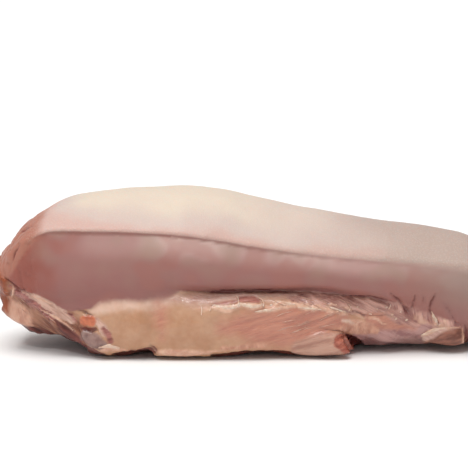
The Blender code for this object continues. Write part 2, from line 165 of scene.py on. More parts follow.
# Where each tissue shows below the skin's edge, as (tissue, softness, raggedness, run of (x, z, half
# width)). Later ones lie over earlier ones. The cut root carries on past x = -186, round its end.
ROOT_FACE = (
    ("root_meat", 1.6, 1.6, ((-236, 30, 30), (-186, 30, 17), (-165, 20, 17), (-148, 13, 16), (-137, 14, 9))),
)  # fmt: skip
TISSUES = {
    NEAR: (
        ("lean", 7.0, 2.6, ((-46, 17, 4), (-26, 18, 11), (-10, 17, 13), (10, 18, 13), (24, 20, 6))),
        ("lean", 5.4, 2.2, ((-87, 33, 1.0), (-85.5, 27, 3.4), (-84.5, 20, 2.8), (-84, 12, 0))),
        ("fibre", 1.2, 1.4, ((-3, 36, 5.5), (18, 33.5, 7.5), (36, 31, 8), (52, 26, 8), (64, 21, 6))),
        ("folds", 3.6, 2.4, ((62, 29, 6), (74, 28, 10), (88, 24, 10), (97, 16, 6))),
        ("fascia", 1.5, 1.6, ((36, 8, 6), (58, 8, 8.5), (76, 10, 7), (98, 3, 3))),
        ("lean", 1.6, 1.6, ((42, 21, 3.4), (54, 19, 5.6), (68, 17, 3.6))),
        # Painted shade: the darker fibre colours laid over the lean's lower part, which faces down.
        ("fibre", 1.6, 2.0, ((52, 23.6, 1.8), (60, 20.6, 3.0), (69, 17.4, 3.0))),
        ("cream", 1.0, 0.9, ((24.5, 15.4, 1.6), (29, 16.6, 3.4), (35, 16.8, 4.6), (41, 15.8, 3.6),
                             (46.5, 13.8, 1.2))),
        # Painted highlight on the top of the fat patch.
        ("suet_top", 1.2, 0.9, ((24, 20.4, 0.2), (29, 20, 1.3), (35, 20.2, 0.6))),
        ("membrane", 4.2, 1.8, ((-90, 34, -2), (-76, 34.2, 1.4), (-62, 34.4, 4.0), (-52, 34.4, 4.4),
                                (-40, 36, 3.4), (-4, 37, 2))),
        ("pink_meat", 0.9, 1.0, ((-54, 30.6, 0.1), (-48, 31.4, 0.9), (-42, 32.2, 0.9), (-39, 32.4, 0.6))),
        ("pink_meat", 0.6, 0.7, ((-36.6, 33.4, 1.4), (-33, 34.2, 1.9), (-28, 33.8, 1.9), (-26, 33, 1.4))),
        ("flap", 1.2, 0.6, ((0, 3, 6), (13, 5, 8), (24.5, 6, 6.5))),
        ("raw_end", 0.7, 0.6, ((25.2, 7.5, 5.0), (29.7, 3, 4.6), (32.7, 0, 3))),
        ("muscle", 0.6, 0.3, ((27.7, 11.5, 0.2), (31.5, 8, 1.6), (34.7, 5, 2.2), (36.7, 1.5, 2.0))),
        ("cream", 0.6, 0.6, ((76, 6.5, 1.2), (82, 8.5, 3.0), (88, 10, 4.0))),
        ("bridle", 0.7, 0.6, ((81, 6, 3.0), (89, 7.6, 5.0), (98, 8.4, 5.8))),
        ("membrane", 0.9, 1.0, ((75.5, 7.6, 1.4), (79.5, 10.6, 3.0), (84, 12.8, 2.4), (89, 13.6, 1.0))),
        # Sinew colour along the fat's lower rim: pale tissue, and a painted highlight where the rim catches
        # the light.
        ("sinew", 0.8, 0.8, ((-90, 2.4, 0.3), (-82, 1.8, 1.8), (-70, 1.4, 2.0), (-58, 1.8, 1.2),
                             (-46, 3.2, 0.3))),
        ("cream", 1.0, 0.8, ((-48, 4.4, 1.0), (-36, 4.8, 1.4), (-22, 6, 1.2))),
        ("cream", 1.2, 1.4, ((-178, 33, 2.4), (-174.5, 26.5, 5.4), (-169.5, 20.5, 6.4), (-166, 16.5, 3))),
        ("meat", 0.7, 1.9, ((-176.4, 40.5, 0.8), (-171.5, 36.6, 1.9), (-166, 33.2, 2.5), (-160, 29.4, 2.8),
                            (-155.5, 25.6, 2.8), (-150.5, 21.4, 1.6))),
        ("film", 0.6, 1.1, ((-170.5, 37.8, 0.5), (-165, 36.2, 1.4), (-158, 32.6, 2.6), (-151, 28.4, 3.2),
                            (-145, 24.8, 3.4), (-139.4, 21, 2.6))),
        ("meat", 0.6, 1.0, ((-144, 26.4, 0.1), (-139.6, 23.6, 1.1), (-137, 20.4, 0.9))),
        ("muscle", 0.6, 0.9, ((-149, 20.6, 0.6), (-145, 17, 2.6), (-141, 12.6, 3.9), (-137, 8, 3.4),
                              (-133, 3, 2))),
        ("gristle", 0.8, 0.9, ((-130.6, 11.4, 3.6), (-125.4, 8.8, 5.0), (-121, 6, 3.4))),
        ("film", 0.9, 0.9, ((-123.6, 21.5, 1.6), (-120.4, 18, 2.6), (-118.6, 13.5, 2.2))),
        ("muscle", 0.5, 0.8, ((-134, 16.2, 0.5), (-129.4, 15.4, 1.2), (-124.8, 16.2, 0.6))),
        ("stain", 0.8, 1.0, ((-131.4, 20.9, 2.9), (-127.6, 21, 3.2))),
        ("meat", 0.9, 0.9, ((-119.6, 16.4, 0.7), (-116.8, 12.6, 1.9), (-115.8, 8, 1.5))),
        ("sinew", 0.8, 0.8, ((-121, 3, 1.0), (-116, 4.6, 1.6), (-108, 3, 1.0), (-100, 2, 0.3))),
        ("sinew", 0.35, 0.4, ((-176.4, 43, 0.1), (-174.8, 39, 0.5), (-175.6, 34, 0.2))),
        ("sinew", 0.4, 0.9, ((-163, 35, 0.1), (-157, 33, 0.5), (-151, 30.2, 0.1))),
        ("sinew", 0.35, 0.5, ((-160, 27.8, 0.1), (-155, 25.2, 0.4), (-148.6, 21.9, 0.6), (-142.6, 18, 0.5),
                              (-137, 13.4, 0.2))),
        # Pale, wet connective tissue along the torn edge, painted pale enough to stand for its wet
        # highlights too.
        ("sinew", 0.6, 0.9, ((-53.6, 29.3, 0.3), (-49, 28.4, 1.3), (-43, 28.2, 1.7), (-38, 29.6, 1.2))),
        ("sinew", 0.6, 0.7, ((-37, 30.4, 0.9), (-29, 29.4, 1.2), (-24, 29.8, 0.8))),
        ("sinew", 0.8, 0.9, ((-27, 26.4, 0.1), (-20, 27.2, 0.8), (-12, 28.6, 1.2), (-4, 29.4, 0.8))),
        ("sinew", 1.0, 1.9, ((-15, 31.6, 0.8), (-7, 31.2, 1.4), (0, 29.6, 1.2), (12, 28.4, 1.2),
                             (20, 26.6, 0.9), (27, 24.6, 0.4))),
        ("sinew", 0.8, 1.6, ((17, 30, 0), (25, 28.6, 0.2), (31, 26.4, 0.6), (36, 22.6, 0.5),
                             (40, 21.6, 0.1))),
        # Sinew colour as painted highlights on the folds, along the bridle's top and right edges and on the
        # fat patch.
        ("sinew", 0.5, 0.6, ((79.6, 24.4, 0.2), (81.6, 20, 1.2), (82.6, 17.2, 1.4))),
        ("sinew", 0.6, 0.6, ((86.6, 22, 0.1), (88, 18.5, 0.9), (88.6, 16.4, 0.4))),
        ("sinew", 0.6, 0.5, ((73.6, 9.6, 0.4), (77.6, 11.2, 1.4), (82, 13.2, 0.8), (90, 14.2, 0.2),
                             (98, 14.4, 0.3))),
        ("sinew", 0.4, 0.3, ((98.6, 14, 0.5), (98.8, 8, 0.4), (98.6, 4, 0.5))),
        ("sinew", 0.7, 0.6, ((29, 20.8, 0.2), (33, 20.2, 1.2), (38, 20.4, 0.6))),
        ("sinew", 0.5, 0.6, ((47, 20.4, 0.2), (49.6, 18, 0.8), (52.5, 17.6, 0.5))),
    ),
    FAR: (
        ("lean", 7.0, 2.6, ((-56, 17, 4), (-36, 18, 11), (-20, 17, 13), (6, 18, 13), (26, 19, 7))),
        ("fibre", 1.2, 1.4, ((-15, 36, 5.5), (6, 33.5, 7.5), (26, 31, 8), (44, 26, 8), (56, 21, 6))),
        ("folds", 2.4, 1.2, ((54, 28, 6), (66, 27, 9), (80, 25, 9), (90, 20, 5))),
        ("fascia", 1.5, 1.6, ((36, 8, 7), (58, 8, 8.5), (80, 8, 7))),
        ("cream", 1.0, 0.9, ((8, 23, 3), (18, 22.4, 4.2), (30, 21, 2.6))),
        ("membrane", 1.4, 1.4, ((-92, 33.5, 2), (-78, 34.8, 4), (-62, 34.6, 4.4), (-48, 36, 3),
                                (-12, 37, 2))),
        ("pink_meat", 0.6, 0.8, ((-62, 32.4, 0.6), (-48, 33, 1.6), (-38, 32.6, 1.6))),
        ("flap", 1.2, 0.6, ((28, 6, 7), (8, 7.5, 8), (-8, 7, 6.5))),
        ("raw_end", 0.7, 0.6, ((-13, 6, 4.8), (-18, 4, 3.6), (-22, 2, 3))),
        ("sinew", 0.6, 0.8, ((-104, 2.2, 0.3), (-84, 2.2, 1.8), (-64, 2.6, 1.2), (-50, 3.6, 0.3))),
        ("cream", 1.0, 1.0, ((-178.5, 31, 1.0), (-172, 22, 4.6), (-164, 15.5, 3))),
        ("muscle", 0.9, 1.2, ((-170, 30, 1.2), (-160, 24, 2.2), (-150, 18, 2))),
        ("film", 0.6, 0.9, ((-170, 35.6, 1.2), (-160, 30.6, 2.6), (-148, 23, 2.8), (-137, 15, 2.2))),
        ("muscle", 0.7, 1.2, ((-148, 15, 2.0), (-142, 10, 4), (-136, 4, 3.4))),
        ("gristle", 0.8, 0.8, ((-128, 8, 3.8), (-120, 6, 3.8))),
        ("meat", 0.9, 0.8, ((-130, 19, 0.6), (-121, 15, 1.6), (-114, 9, 1.2))),
        ("sinew", 0.5, 0.9, ((-72, 28.6, 0.3), (-64, 28.6, 1.4), (-56, 29.4, 1.0))),
        ("sinew", 0.6, 0.8, ((-40, 30.6, 0.8), (-30, 29.8, 1.3), (-20, 29, 0.7), (-8, 28.4, 0.8),
                             (4, 27, 0.3))),
        ("sinew", 0.5, 0.6, ((70.6, 23, 0.2), (69, 19, 1.2), (70, 16, 1.0))),
    ),
}  # fmt: skip

# The skins' colours, each of which lies over the ones before it.
SHADE_NAMES = (
    "side_pale", "side_deep", "side_grey", "side_warm", "tip_skin", "root_skin", "dorsum_pink",
    "dorsum_cream", "dorsum_tip", "root_pink", "ridge_line",
)  # fmt: skip
# The tissues of the trim, as (label, dark colour, light colour, what it is). The fibres and the
# mottling go from the dark colour to the light one.
TISSUE_COLOURS = {
    "suet": ("Suet", "#B2805E", "#C69B7D", "Fat of the trim"),
    # Fat along the skin's edge, painted paler as a highlight where its top catches the light.
    "suet_top": ("Suet, top", "#D7B09A", "#E5C3B0", "Fat along the skin's edge"),
    "lean": ("Lean", "#B67865", "#C3866F", "Lean trim"),
    "fibre": ("Fibre", "#905F57", "#CB9C8D", "Torn fibres under the skin's edge"),
    "folds": ("Folds", "#96625B", "#D8A898", "Loose skin beside the bridle"),
    "fascia": ("Fascia", "#986663", "#B98D86", "Silverskin over the under side"),
    "cream": ("Cream fat", "#BB836C", "#D19E85", "Firm fat"),
    "membrane": ("Membrane", "#B88C80", "#D4B1A2", "Thin membrane, through which flesh shows"),
    "meat": ("Meat", "#7C3A33", "#AE6C61", "Bare meat"),
    "pink_meat": ("Pink meat", "#9E5D51", "#C38578", "Bare meat under the torn edge"),
    "flap": ("Flap", "#A77765", "#C39884", "Outside of the loose flap"),
    "raw_end": ("Cut end", "#914736", "#C17560", "The flap's cut end"),
    "bridle": ("Bridle", "#6E4033", "#9A6552", "Cut end of the bridle"),
    "root_meat": ("Root", "#713C29", "#A7745B", "Cut flesh of the root"),
    # Cut muscle; also painted on the sagging belly under the root, as its shade.
    "muscle": ("Muscle", "#4E1E16", "#80423A", "Cut muscle at the root"),
    "film": ("Film", "#B08474", "#D8B2A0", "Thin skin that hangs over the root's flesh"),
    "gristle": ("Gristle", "#73514B", "#9C7C73", "Gristle at the root"),
    "stain": ("Stain", "#A8543A", "#D47A52", "The orange spot at the root"),
    "rim": ("Rim", "#692C17", "#A4542F", "Dried rim of the cut root"),
    # Pale connective tissue, also painted where the torn edges glint: partly real tissue, partly painted
    # highlight.
    "sinew": ("Sinew", "#C49079", "#E6BDA3", "Pale wet connective tissue"),
}
# The same for the scraps that lie on the flesh.
SCRAP_COLOURS = {
    "fringe": ("Fringe", "#CC9F88", "#EDCFBB", "Torn membrane"),
    "strand": ("Strand", "#B4806E", "#CFA08C", "Strands of sinew"),
}

# Fibres of each tissue: (rise in degrees towards the tip, spacing, length, depth).
FIBRES = {
    "lean": (17, 2.2, 20, 0.35),
    "fibre": (-27, 2.0, 22, 0.5),
    "folds": (-78, 3.2, 22, 0.8),
    "meat": (10, 1.6, 12, 0.4),
    "pink_meat": (6, 1.8, 10, 0.25),
    "muscle": (-38, 2.0, 14, 0.6),
    "root_meat": (-40, 2.6, 12, 0.6),
    "film": (-36, 3.0, 20, 0.3),
    "flap": (12, 3.0, 30, 0.25),
    "raw_end": (-14, 1.6, 12, 0.6),
    "fascia": (-20, 3.4, 24, 0.3),
    "bridle": (12, 2.0, 16, 0.4),
    "membrane": (4, 3.0, 26, 0.25),
    "cream": (82, 2.4, 9, 0.14),
}
# Finer grain that the material draws: (attribute, rise in degrees, spacing, length, tissues).
GRAINS = (
    ("rising", 17, 0.9, 14, ("lean", "flap", "raw_end", "bridle", "meat", "pink_meat")),
    ("falling", -28, 0.8, 12, ("fibre", "fascia", "membrane")),
    ("steep", -38, 1.0, 9, ("muscle", "root_meat", "film")),
    ("upright", -80, 1.0, 9, ("folds", "cream")),
)
# How far each tissue stands out of the flesh, or lies in it.
LIFTS = {
    "cream": 0.5, "flap": 0.5, "gristle": 0.5, "stain": 0.9, "membrane": 0.3, "muscle": -0.6, "meat": -0.6,
    "pink_meat": -0.6, "sinew": 0.7, "film": 0.5, "rim": 1.9,
}  # fmt: skip

# Flakes of torn membrane as runs of (x, z, half width); their upper edges curl away from the flesh.
FLAKES = {
    NEAR: (
        ((-54.8, 31.2, 0.1), (-50.5, 30.0, 0.8), (-45, 29.2, 1.5), (-40, 29.4, 1.4), (-36.5, 30.6, 0.7)),
        ((-38, 32.2, 0.4), (-35, 30.6, 1.1), (-30, 29.6, 1.3), (-25.5, 29.8, 1.0), (-22.5, 31.6, 0.4)),
        ((-28, 26.2, 0.1), (-23.5, 27.0, 0.6), (-18, 27.4, 0.9), (-12, 28.6, 0.3)),
        ((-15.5, 32.6, 0.2), (-11.5, 31.8, 1.0), (-7, 31.2, 0.8), (-3, 30.4, 0.1)),
        ((-1.5, 28.8, 0.1), (3, 28.4, 0.7), (8, 27.8, 0.6), (13, 27.0, 0.1)),
        ((15, 29.2, 0.1), (19, 28.2, 0.6), (24, 26.2, 0.5), (28, 25, 0.1)),
        ((79.6, 24.5, 0.1), (81, 21, 0.9), (82.8, 17.4, 1.2)),
        ((73.5, 9.6, 0.3), (77, 11, 1.4), (82, 13, 0.9), (88, 14, 0.3)),
        ((-123, 4.2, 0.3), (-117, 5.4, 1.3), (-110, 4, 0.8)),
    ),
    FAR: (
        ((-70, 30.4, 0.1), (-65, 29.2, 1.2), (-59, 29.2, 1.4), (-53, 30.2, 0.5)),
        ((-51, 30.6, 0.5), (-45, 29.8, 1.1), (-38, 30.2, 0.9), (-33, 31, 0.2)),
        ((-26, 30.2, 0.1), (-20, 30.8, 0.8), (-12, 29.6, 0.6), (-4, 28.8, 0.1)),
        ((4, 27.6, 0.1), (12, 27.4, 0.8), (20, 25.8, 0.4)),
    ),
}  # fmt: skip

# Spikes of torn membrane as runs of (x, z, radius); each curls away from the flesh along its length.
SPIKES = {
    NEAR: (
        ((-38.4, 29.4, 0.75), (-37.6, 31.6, 0.55), (-38, 33.8, 0.36), (-39, 36, 0.14)),
        ((-22.9, 29.6, 0.6), (-22.4, 31.6, 0.5), (-23.4, 33.6, 0.4), (-26, 35.4, 0.16)),
        ((-60.4, 24.6, 0.3), (-60, 27.6, 0.4), (-60.8, 31.2, 0.12)),
        ((-55.4, 27, 0.4), (-54.6, 28.6, 0.35), (-55, 30, 0.12)),
        ((-9, 30.6, 0.8), (-12, 31.8, 0.6), (-15, 32.4, 0.2)),
        ((29.4, 25.8, 0.3), (30, 28, 0.35), (29, 30.4, 0.12)),
        ((53.6, 26.2, 0.4), (54.6, 28, 0.4), (55, 29.6, 0.15)),
    ),
    FAR: (
        ((-51.6, 29.4, 0.75), (-51, 31.6, 0.55), (-51.4, 33.8, 0.36), (-50.2, 36, 0.14)),
        ((-36.4, 29.6, 0.6), (-35.6, 32, 0.5), (-36.4, 34.6, 0.2)),
        ((-70.4, 25.6, 0.4), (-70, 28.6, 0.4), (-70.8, 31, 0.14)),
        ((18, 25.8, 0.4), (18.6, 28, 0.4), (17.6, 30, 0.14)),
    ),
}  # fmt: skip

# Beads of fat where the torn edge glints, partly painted highlight in their pale colour: (x, z, size).
BEADS = {
    NEAR: (
        (21.6, 30.4, 0.4), (34.4, 28.1, 0.55), (46.6, 26.6, 0.45), (42.3, 23.6, 0.7), (52.4, 27.4, 0.5),
        (58.2, 20.2, 0.6), (64.5, 19.4, 0.6), (61, 24.4, 0.45), (-18, 30.6, 0.5), (55.7, 22.9, 0.6),
    ),
    FAR: (
        (2, 31, 0.6), (12, 30.4, 0.5), (22, 29, 0.7), (31, 27, 0.5), (40, 25.5, 0.8), (47, 23, 0.5),
        (36, 21, 0.6), (52, 19, 0.6), (-26, 30.8, 0.6),
    ),
}  # fmt: skip

# Bundles of fine strands over the trim: side, ends as (x, z) of the middle line, width across,
# rise in degrees, shortest and longest strand, how many.
STRAND_BUNDLES = (
    (NEAR, (2, 33), (56, 25), 8, -27, 5, 11, 18),
    (NEAR, (-12, 20), (22, 22), 13, 17, 5, 11, 16),
    (FAR, (-10, 33), (46, 25), 8, -27, 5, 11, 18),
    (FAR, (-24, 20), (14, 22), 13, 17, 5, 11, 16),
    (NEAR, (-172, 30), (-148, 20), 7, -38, 3, 7, 6),
    (FAR, (-170, 30), (-148, 20), 7, -38, 3, 7, 6),
)


def linear(code):
    """The linear colour of an sRGB hex code, as Blender's colour sockets take it."""
    values = [int(code[i : i + 2], 16) / 255 for i in (1, 3, 5)]
    return tuple(v / 12.92 if v <= 0.04045 else ((v + 0.055) / 1.055) ** 2.4 for v in values)


def smooth(low, high, value):
    """0 below low, 1 above high and an even S between them. low may be the larger."""
    t = np.clip((value - low) / (high - low), 0, 1)
    return t * t * (3 - 2 * t)


def along(line, x):
    """The value of a line of (x, value) knots at each x: a monotone cubic, which never overshoots."""
    xs, values = np.array(line, float).T
    rises = np.diff(values) / np.diff(xs)
    steady = rises[:-1] * rises[1:] > 0
    total = np.where(steady, rises[:-1] + rises[1:], 1)
    slopes = np.concatenate(([0], np.where(steady, 2 * rises[:-1] * rises[1:] / total, 0), [0]))
    x = np.clip(x, xs[0], xs[-1])
    i = np.clip(np.searchsorted(xs, x, "right") - 1, 0, len(xs) - 2)
    width = xs[i + 1] - xs[i]
    t = (x - xs[i]) / width
    return (
        values[i] * (1 + 2 * t) * (1 - t) ** 2
        + values[i + 1] * t * t * (3 - 2 * t)
        + slopes[i] * width * t * (1 - t) ** 2
        - slopes[i + 1] * width * t * t * (1 - t)
    )


def wander(points, size, seed=0.0):
    """Noise of about -1 to 1 at each point, in blobs of one size or of sizes along x, y and z."""
    scaled = points / np.asarray(size, float) + seed * 7.31
    return np.array([noise.noise(Vector(p)) for p in scaled])


def inside_run(run, x, z):
    """How far inside a run of (x, z, half width) knots each point lies, negative outside it."""
    deepest = np.full(np.shape(x), -1e3)
    for (x0, z0, w0), (x1, z1, w1) in zip(run, run[1:]):
        ahead_x, ahead_z = x1 - x0, z1 - z0
        share = np.clip(((x - x0) * ahead_x + (z - z0) * ahead_z) / (ahead_x**2 + ahead_z**2), 0, 1)
        away = np.hypot(x - x0 - share * ahead_x, z - z0 - share * ahead_z)
        deepest = np.maximum(deepest, w0 + (w1 - w0) * share - away)
    return deepest


def as_seen(x, width, z):
    """Places as the photo's camera sees them, at the middle plane's scale: the lines' and runs' x and z."""
    nearness = 1 - (VIEW_COS * width + VIEW_SIN * (z - AIM_Z)) / VIEW_DISTANCE
    seen_x = (x - AIM_X) / nearness + AIM_X
    seen_z = (VIEW_COS * (z - AIM_Z) - VIEW_SIN * width) / nearness + AIM_SEEN_Z
    return seen_x, (seen_z + READ_TILT * along(READ_HALF_WIDTH, seen_x)) / READ_SCALE


def lay_over(masks, name, cover):
    """Lays one tissue over the others, which keep what it leaves."""
    for other in masks:
        masks[other] *= 1 - cover
    masks[name] += cover


class Surface:
    """The flesh's points in millimetres, and the landmarks that its forms and tissues go by."""

    def __init__(self, points):
        self.points = points
        self.x, self.y, self.z = points.T
        self.near = self.y < 0
        self.width = np.abs(self.y)
        seen_x, self.run_z = as_seen(self.x, self.width, self.z)
        # x runs on across the cut root, so that lines and runs can go round its end.
        round_end = np.maximum(0, ROOT_HALF_WIDTH - self.width) * 0.9
        self.run_x = seen_x - smooth(-177, -184, self.x) * round_end
        self.shifted_x = np.where(self.near, self.run_x, self.run_x + FAR_SHIFT)
        self.over_ridge = self.z - along(RIDGE_HEIGHT, self.x)
        # The rough skin's edge grows soft towards the tip.
        self.onto_dorsum = self.over_ridge / (1 + 5 * smooth(30, 105, self.x))
        depth = along(RIDGE_HEIGHT, self.x) - along(FOLD_HEIGHT, self.shifted_x)
        self.down_wall = np.clip(-self.over_ridge / np.maximum(depth, 6), 0, 1.3)
        self.flank = np.maximum(smooth(9, 17, self.width), smooth(-176, -182, self.x))
        self.softness = along(EDGE_SOFTNESS, self.shifted_x)
        self.cloud, self.patchy = wander(points, 30.0, 4.4), wander(points, 12.0, 8.2)
        self.coarse, self.fine = wander(points, 6.0, 1.3), wander(points, 1.9, 5.9)
        ragged = (1.0 * self.coarse + 0.5 * self.fine) * self.flank
        self.below_skin = along(SKIN_EDGE_HEIGHT, self.shifted_x) - self.run_z + ragged
        self.before_tip = smooth(108, 101, self.run_x)
        self.trim = smooth(-1, 1, self.below_skin / self.softness) * self.before_tip
        torn = 1.5 * wander(points, (6.0, 6.0, 2.6), 2.6) + 0.7 * wander(points, (2.8, 2.8, 1.4), 5.1)
        self.below_fat_edge = along(FAT_EDGE_HEIGHT, self.shifted_x) - self.run_z + torn
        self.has_fat_edge = smooth(-74, -58, self.shifted_x) * smooth(62, 48, self.shifted_x) * self.flank

    def crease(self):
        """How far inside a crease each point lies, with a slight wander."""
        bend = 0.5 * wander(self.points, 4.0, 9.3) + 0.25 * self.fine
        found = np.full(self.x.shape, -3.0)
        for side, here in ((NEAR, self.near), (FAR, ~self.near)):
            here = here & (self.width > 12)
            for run in CREASES[side]:
                inside = inside_run(run, self.run_x[here], self.run_z[here] + bend[here])
                found[here] = np.maximum(found[here], inside)
        return found

    def shades(self):
        """How far each colour of the skins covers the ones before it, from 0 to 1."""
        x, blotch = self.x, self.coarse
        drop = self.down_wall + 0.12 * self.cloud + 0.05 * self.patchy + 0.03 * blotch
        height = self.over_ridge + 5 * self.cloud + 2 * self.patchy - 9 * smooth(-122, -158, x)
        pink = smooth(-6, -0.8, self.over_ridge + 2.0 * blotch + self.fine)
        # Painted shade in the groove that ridge_lip cuts under the rough skin's edge.
        line = smooth(1.4, 0.3, np.abs(self.over_ridge + 1.1))
        return {
            # Painted light and shade on the side skin: a pale highlight band just under the ridge, where the
            # wall's top catches the light, and darker skin down over the fold, where the wall turns under.
            "side_pale": smooth(0.55, 0.1, drop) * along(HIGHLIGHT_BAND, self.shifted_x + 6 * self.patchy),
            "side_deep": smooth(0.6, 1.0, drop) * along(SHADE_BAND, self.shifted_x),
            "side_grey": 0.45 * smooth(-0.3, 0.7, self.patchy) * (1 - 0.7 * smooth(0.35, 0.8, drop)),
            "side_warm": 0.4 * smooth(0.1, 0.5, self.cloud - self.patchy),
            "tip_skin": 0.85 * smooth(50, 120, x + 14 * self.cloud) * smooth(1.1, 0.2, drop),
            "root_skin": 0.9 * smooth(-141, -162, x + 8 * self.patchy + 4 * blotch),
            # The upper skin grows paler with height over its edge: partly its own cream tone, partly painted
            # light on the top of the hump.
            "dorsum_pink": smooth(0.5, 7, height) * smooth(0, 1.5, self.onto_dorsum),
            "dorsum_cream": smooth(6, 18, height) * smooth(40, -70, x + 20 * self.cloud),
            "dorsum_tip": smooth(-15, 80, x + 16 * self.cloud) * smooth(-0.7, 0.5, self.onto_dorsum),
            "root_pink": pink * smooth(-150, -160, x + 3 * self.patchy),
            "ridge_line": 0.8 * line * along(RIDGE_GROOVE_SHADE, x),
        }

    def tissues(self):
        """A mask from 0 to 1 for each tissue; together they come to the trim."""
        masks = {name: np.zeros(self.x.shape) for name in TISSUE_COLOURS}
        # Painted highlight: the fat just under the skin's edge is made paler where its top ledge catches the
        # light, most between x = -122 and -86 and a quarter as much past -70.
        gloss = smooth(-134, -122, self.shifted_x) * (0.25 + 0.75 * smooth(-70, -86, self.shifted_x))
        masks["suet_top"] = 0.9 * smooth(9, 2.5, self.below_skin + 2 * self.patchy) * gloss
        masks["suet"] = 1 - masks["suet_top"]
        for side, here in ((NEAR, self.near), (FAR, ~self.near)):
            for name, softness, raggedness, run in ROOT_FACE + TISSUES[side]:
                inside = inside_run(run, self.run_x, self.run_z)
                inside += raggedness * (self.coarse + 0.5 * self.fine)
                lay_over(masks, name, smooth(-softness, softness, inside) * here)
        for name, cover in self.cut_end():
            lay_over(masks, name, cover)
        return {name: mask * self.trim for name, mask in masks.items()}

    def cut_end(self):
        """The cut root seen end on: a dried border round meat that fat and a middle septum part."""
        across, up = self.y / CUT_HALF_WIDTH, (self.z - CUT_MIDDLE_Z) / CUT_HALF_HEIGHT
        out = (np.abs(across) ** 3 + np.abs(up) ** 3) ** (1 / 3) + 0.06 * self.coarse + 0.04 * self.fine
        edge = self.x + 1.2 * self.coarse + 0.6 * self.fine
        border = smooth(-174.2, -176.4, edge) * smooth(20, 27, self.z + 2 * self.coarse)
        meat = smooth(-179.4, -180.8, edge) * smooth(0.84, 0.74, out)
        # Painted shade: the sagging belly under the raised root gets the dark muscle colour where it lies in
        # shadow.
        under = smooth(26, 22, self.width + 1.5 * self.coarse) * smooth(-180, -177, self.x)
        under *= smooth(-112, -124, self.x)
        seams = np.abs(wander(self.points, (9.0, 7.0, 9.0), 6.6) + 0.2 * self.fine)
        septum = np.abs(self.y - 2 + 2.5 * self.patchy)
        return (
            ("rim", border * smooth(1.2, 1.08, out)),
            ("muscle", np.maximum(meat, under * smooth(19, 14, self.z))),
            ("meat", 0.8 * meat * smooth(-0.15, 0.35, self.patchy + 0.5 * self.coarse)),
            ("cream", 0.6 * meat * smooth(0.2, 0.02, seams) * smooth(-0.3, 0.3, self.coarse)),
            ("cream", 0.6 * meat * smooth(2.2, 0.4, septum) * smooth(-0.5, 0.1, self.coarse)),
        )

    def fibres(self, masks):
        """The height of the fibres at each point, from about -1 to 1, and their depth."""
        ridges, depths = np.zeros(self.x.shape), np.zeros(self.x.shape)
        for name, (rise, spacing, length, depth) in FIBRES.items():
            here = masks[name] > 0.02
            turn = math.radians(rise)
            warp = 1.6 * wander(self.points[here], 9.0, 2.2)
            x, z = self.run_x[here], self.z[here] + warp
            ahead = x * math.cos(turn) + z * math.sin(turn)
            across = z * math.cos(turn) - x * math.sin(turn)
            spots = np.stack((ahead / length, np.where(self.near[here], 0, 31), across / spacing), axis=1)
            ridges[here] += masks[name][here] ** 2 * 1.5 * wander(spots, 1.0, spacing)
            depths[here] += masks[name][here] * depth
        return ridges, depths


def tuck_base(data):
    """Sags the raised root's under side, slopes the flap's end back and draws the base in."""
    points, normals = read_points(data)
    x, y, z = points.T  # views of the points, so each step goes on from the one before it
    sag = smooth(-176, -164, x) * smooth(-118, -134, x) * smooth(28, 12, np.abs(y))
    sag *= smooth(0.1, -0.5, normals[:, 2])
    points[:, 2] -= np.minimum(6.0, 0.6 * z) * sag
    flap_end = smooth(16, 31, x) * smooth(46, 36, x) * smooth(2, 9, z) * smooth(19, 12, z)
    flap_end *= smooth(-26, -33, y)
    points[:, 0] -= 5.0 * flap_end
    height = along(TUCK_HEIGHT, x)
    tuck = smooth(height, height - 1.6, z) * smooth(-142, -134, x) * smooth(40, 28, x)
    points[:, 1] *= 1 - 0.14 * tuck
    data.vertices.foreach_set("co", (points * MM).ravel())
    data.update()


def puffs(surface):
    """Slow forms: the dimple in the fat, the puffed skin over the fold and the torn edges' steps."""
    x, z = surface.run_x, surface.run_z
    dimple = smooth(-9, 1, inside_run(((-88.6, 33, 0), (-90, 23, 0.5), (-88, 13, -1)), x, z)) * surface.near
    over_fold = smooth(5, 0, np.abs(z - along(FOLD_HEIGHT, surface.shifted_x) - 3.5))
    along_fold = smooth(-84, -66, surface.shifted_x) * smooth(60, 30, surface.shifted_x)
    ledge = smooth(-2, 8, surface.below_skin) * smooth(3, 14, z)
    ledge *= smooth(-134, -120, surface.shifted_x) * smooth(74, 40, surface.shifted_x)
    step = smooth(-0.8, 0.8, surface.below_fat_edge) * smooth(14, 4, surface.below_fat_edge)
    beside_flap = ((28.2, 11.5, -0.4), (32.1, 7.8, 1.4), (35.1, 4.8, 2.2), (37.1, 1.2, 2.0))
    gap = smooth(-1.5, 0.8, inside_run(beside_flap, x, z)) * surface.near
    rise = -1.6 * dimple - 4.5 * gap + 0.5 * over_fold * along_fold + 1.2 * ledge
    skin_step = 0.5 * smooth(0.8, -0.8, surface.below_skin) * surface.before_tip
    rise += skin_step * smooth(2.6, 0.8, surface.softness)
    rise += 0.8 * step * surface.has_fat_edge
    return rise * surface.flank


def ridge_lip(surface):
    """The edge of the rough upper skin: a thin lip with a groove under it."""
    span = smooth(-172, -156, surface.x) * (0.25 + 0.75 * smooth(40, -40, surface.x))
    span *= smooth(105, 60, surface.x)
    lip = smooth(1.8, 0, np.abs(surface.over_ridge - 0.9))
    groove = smooth(1.6, 0, np.abs(surface.over_ridge + 1.1))
    return (0.3 * lip - 0.3 * groove) * span


def root_wrinkles(surface):
    """Wrinkles of the skin round the root's upper edge, running down along it."""
    at_root = smooth(-150, -166, surface.x) * smooth(0.5, -0.5, surface.below_skin)
    folds = wander(surface.points, (4.2, 9.0, 11.0), 8.8)
    return at_root * (0.6 * folds - 0.9 * smooth(0.16, 0.0, np.abs(folds + 0.12)))


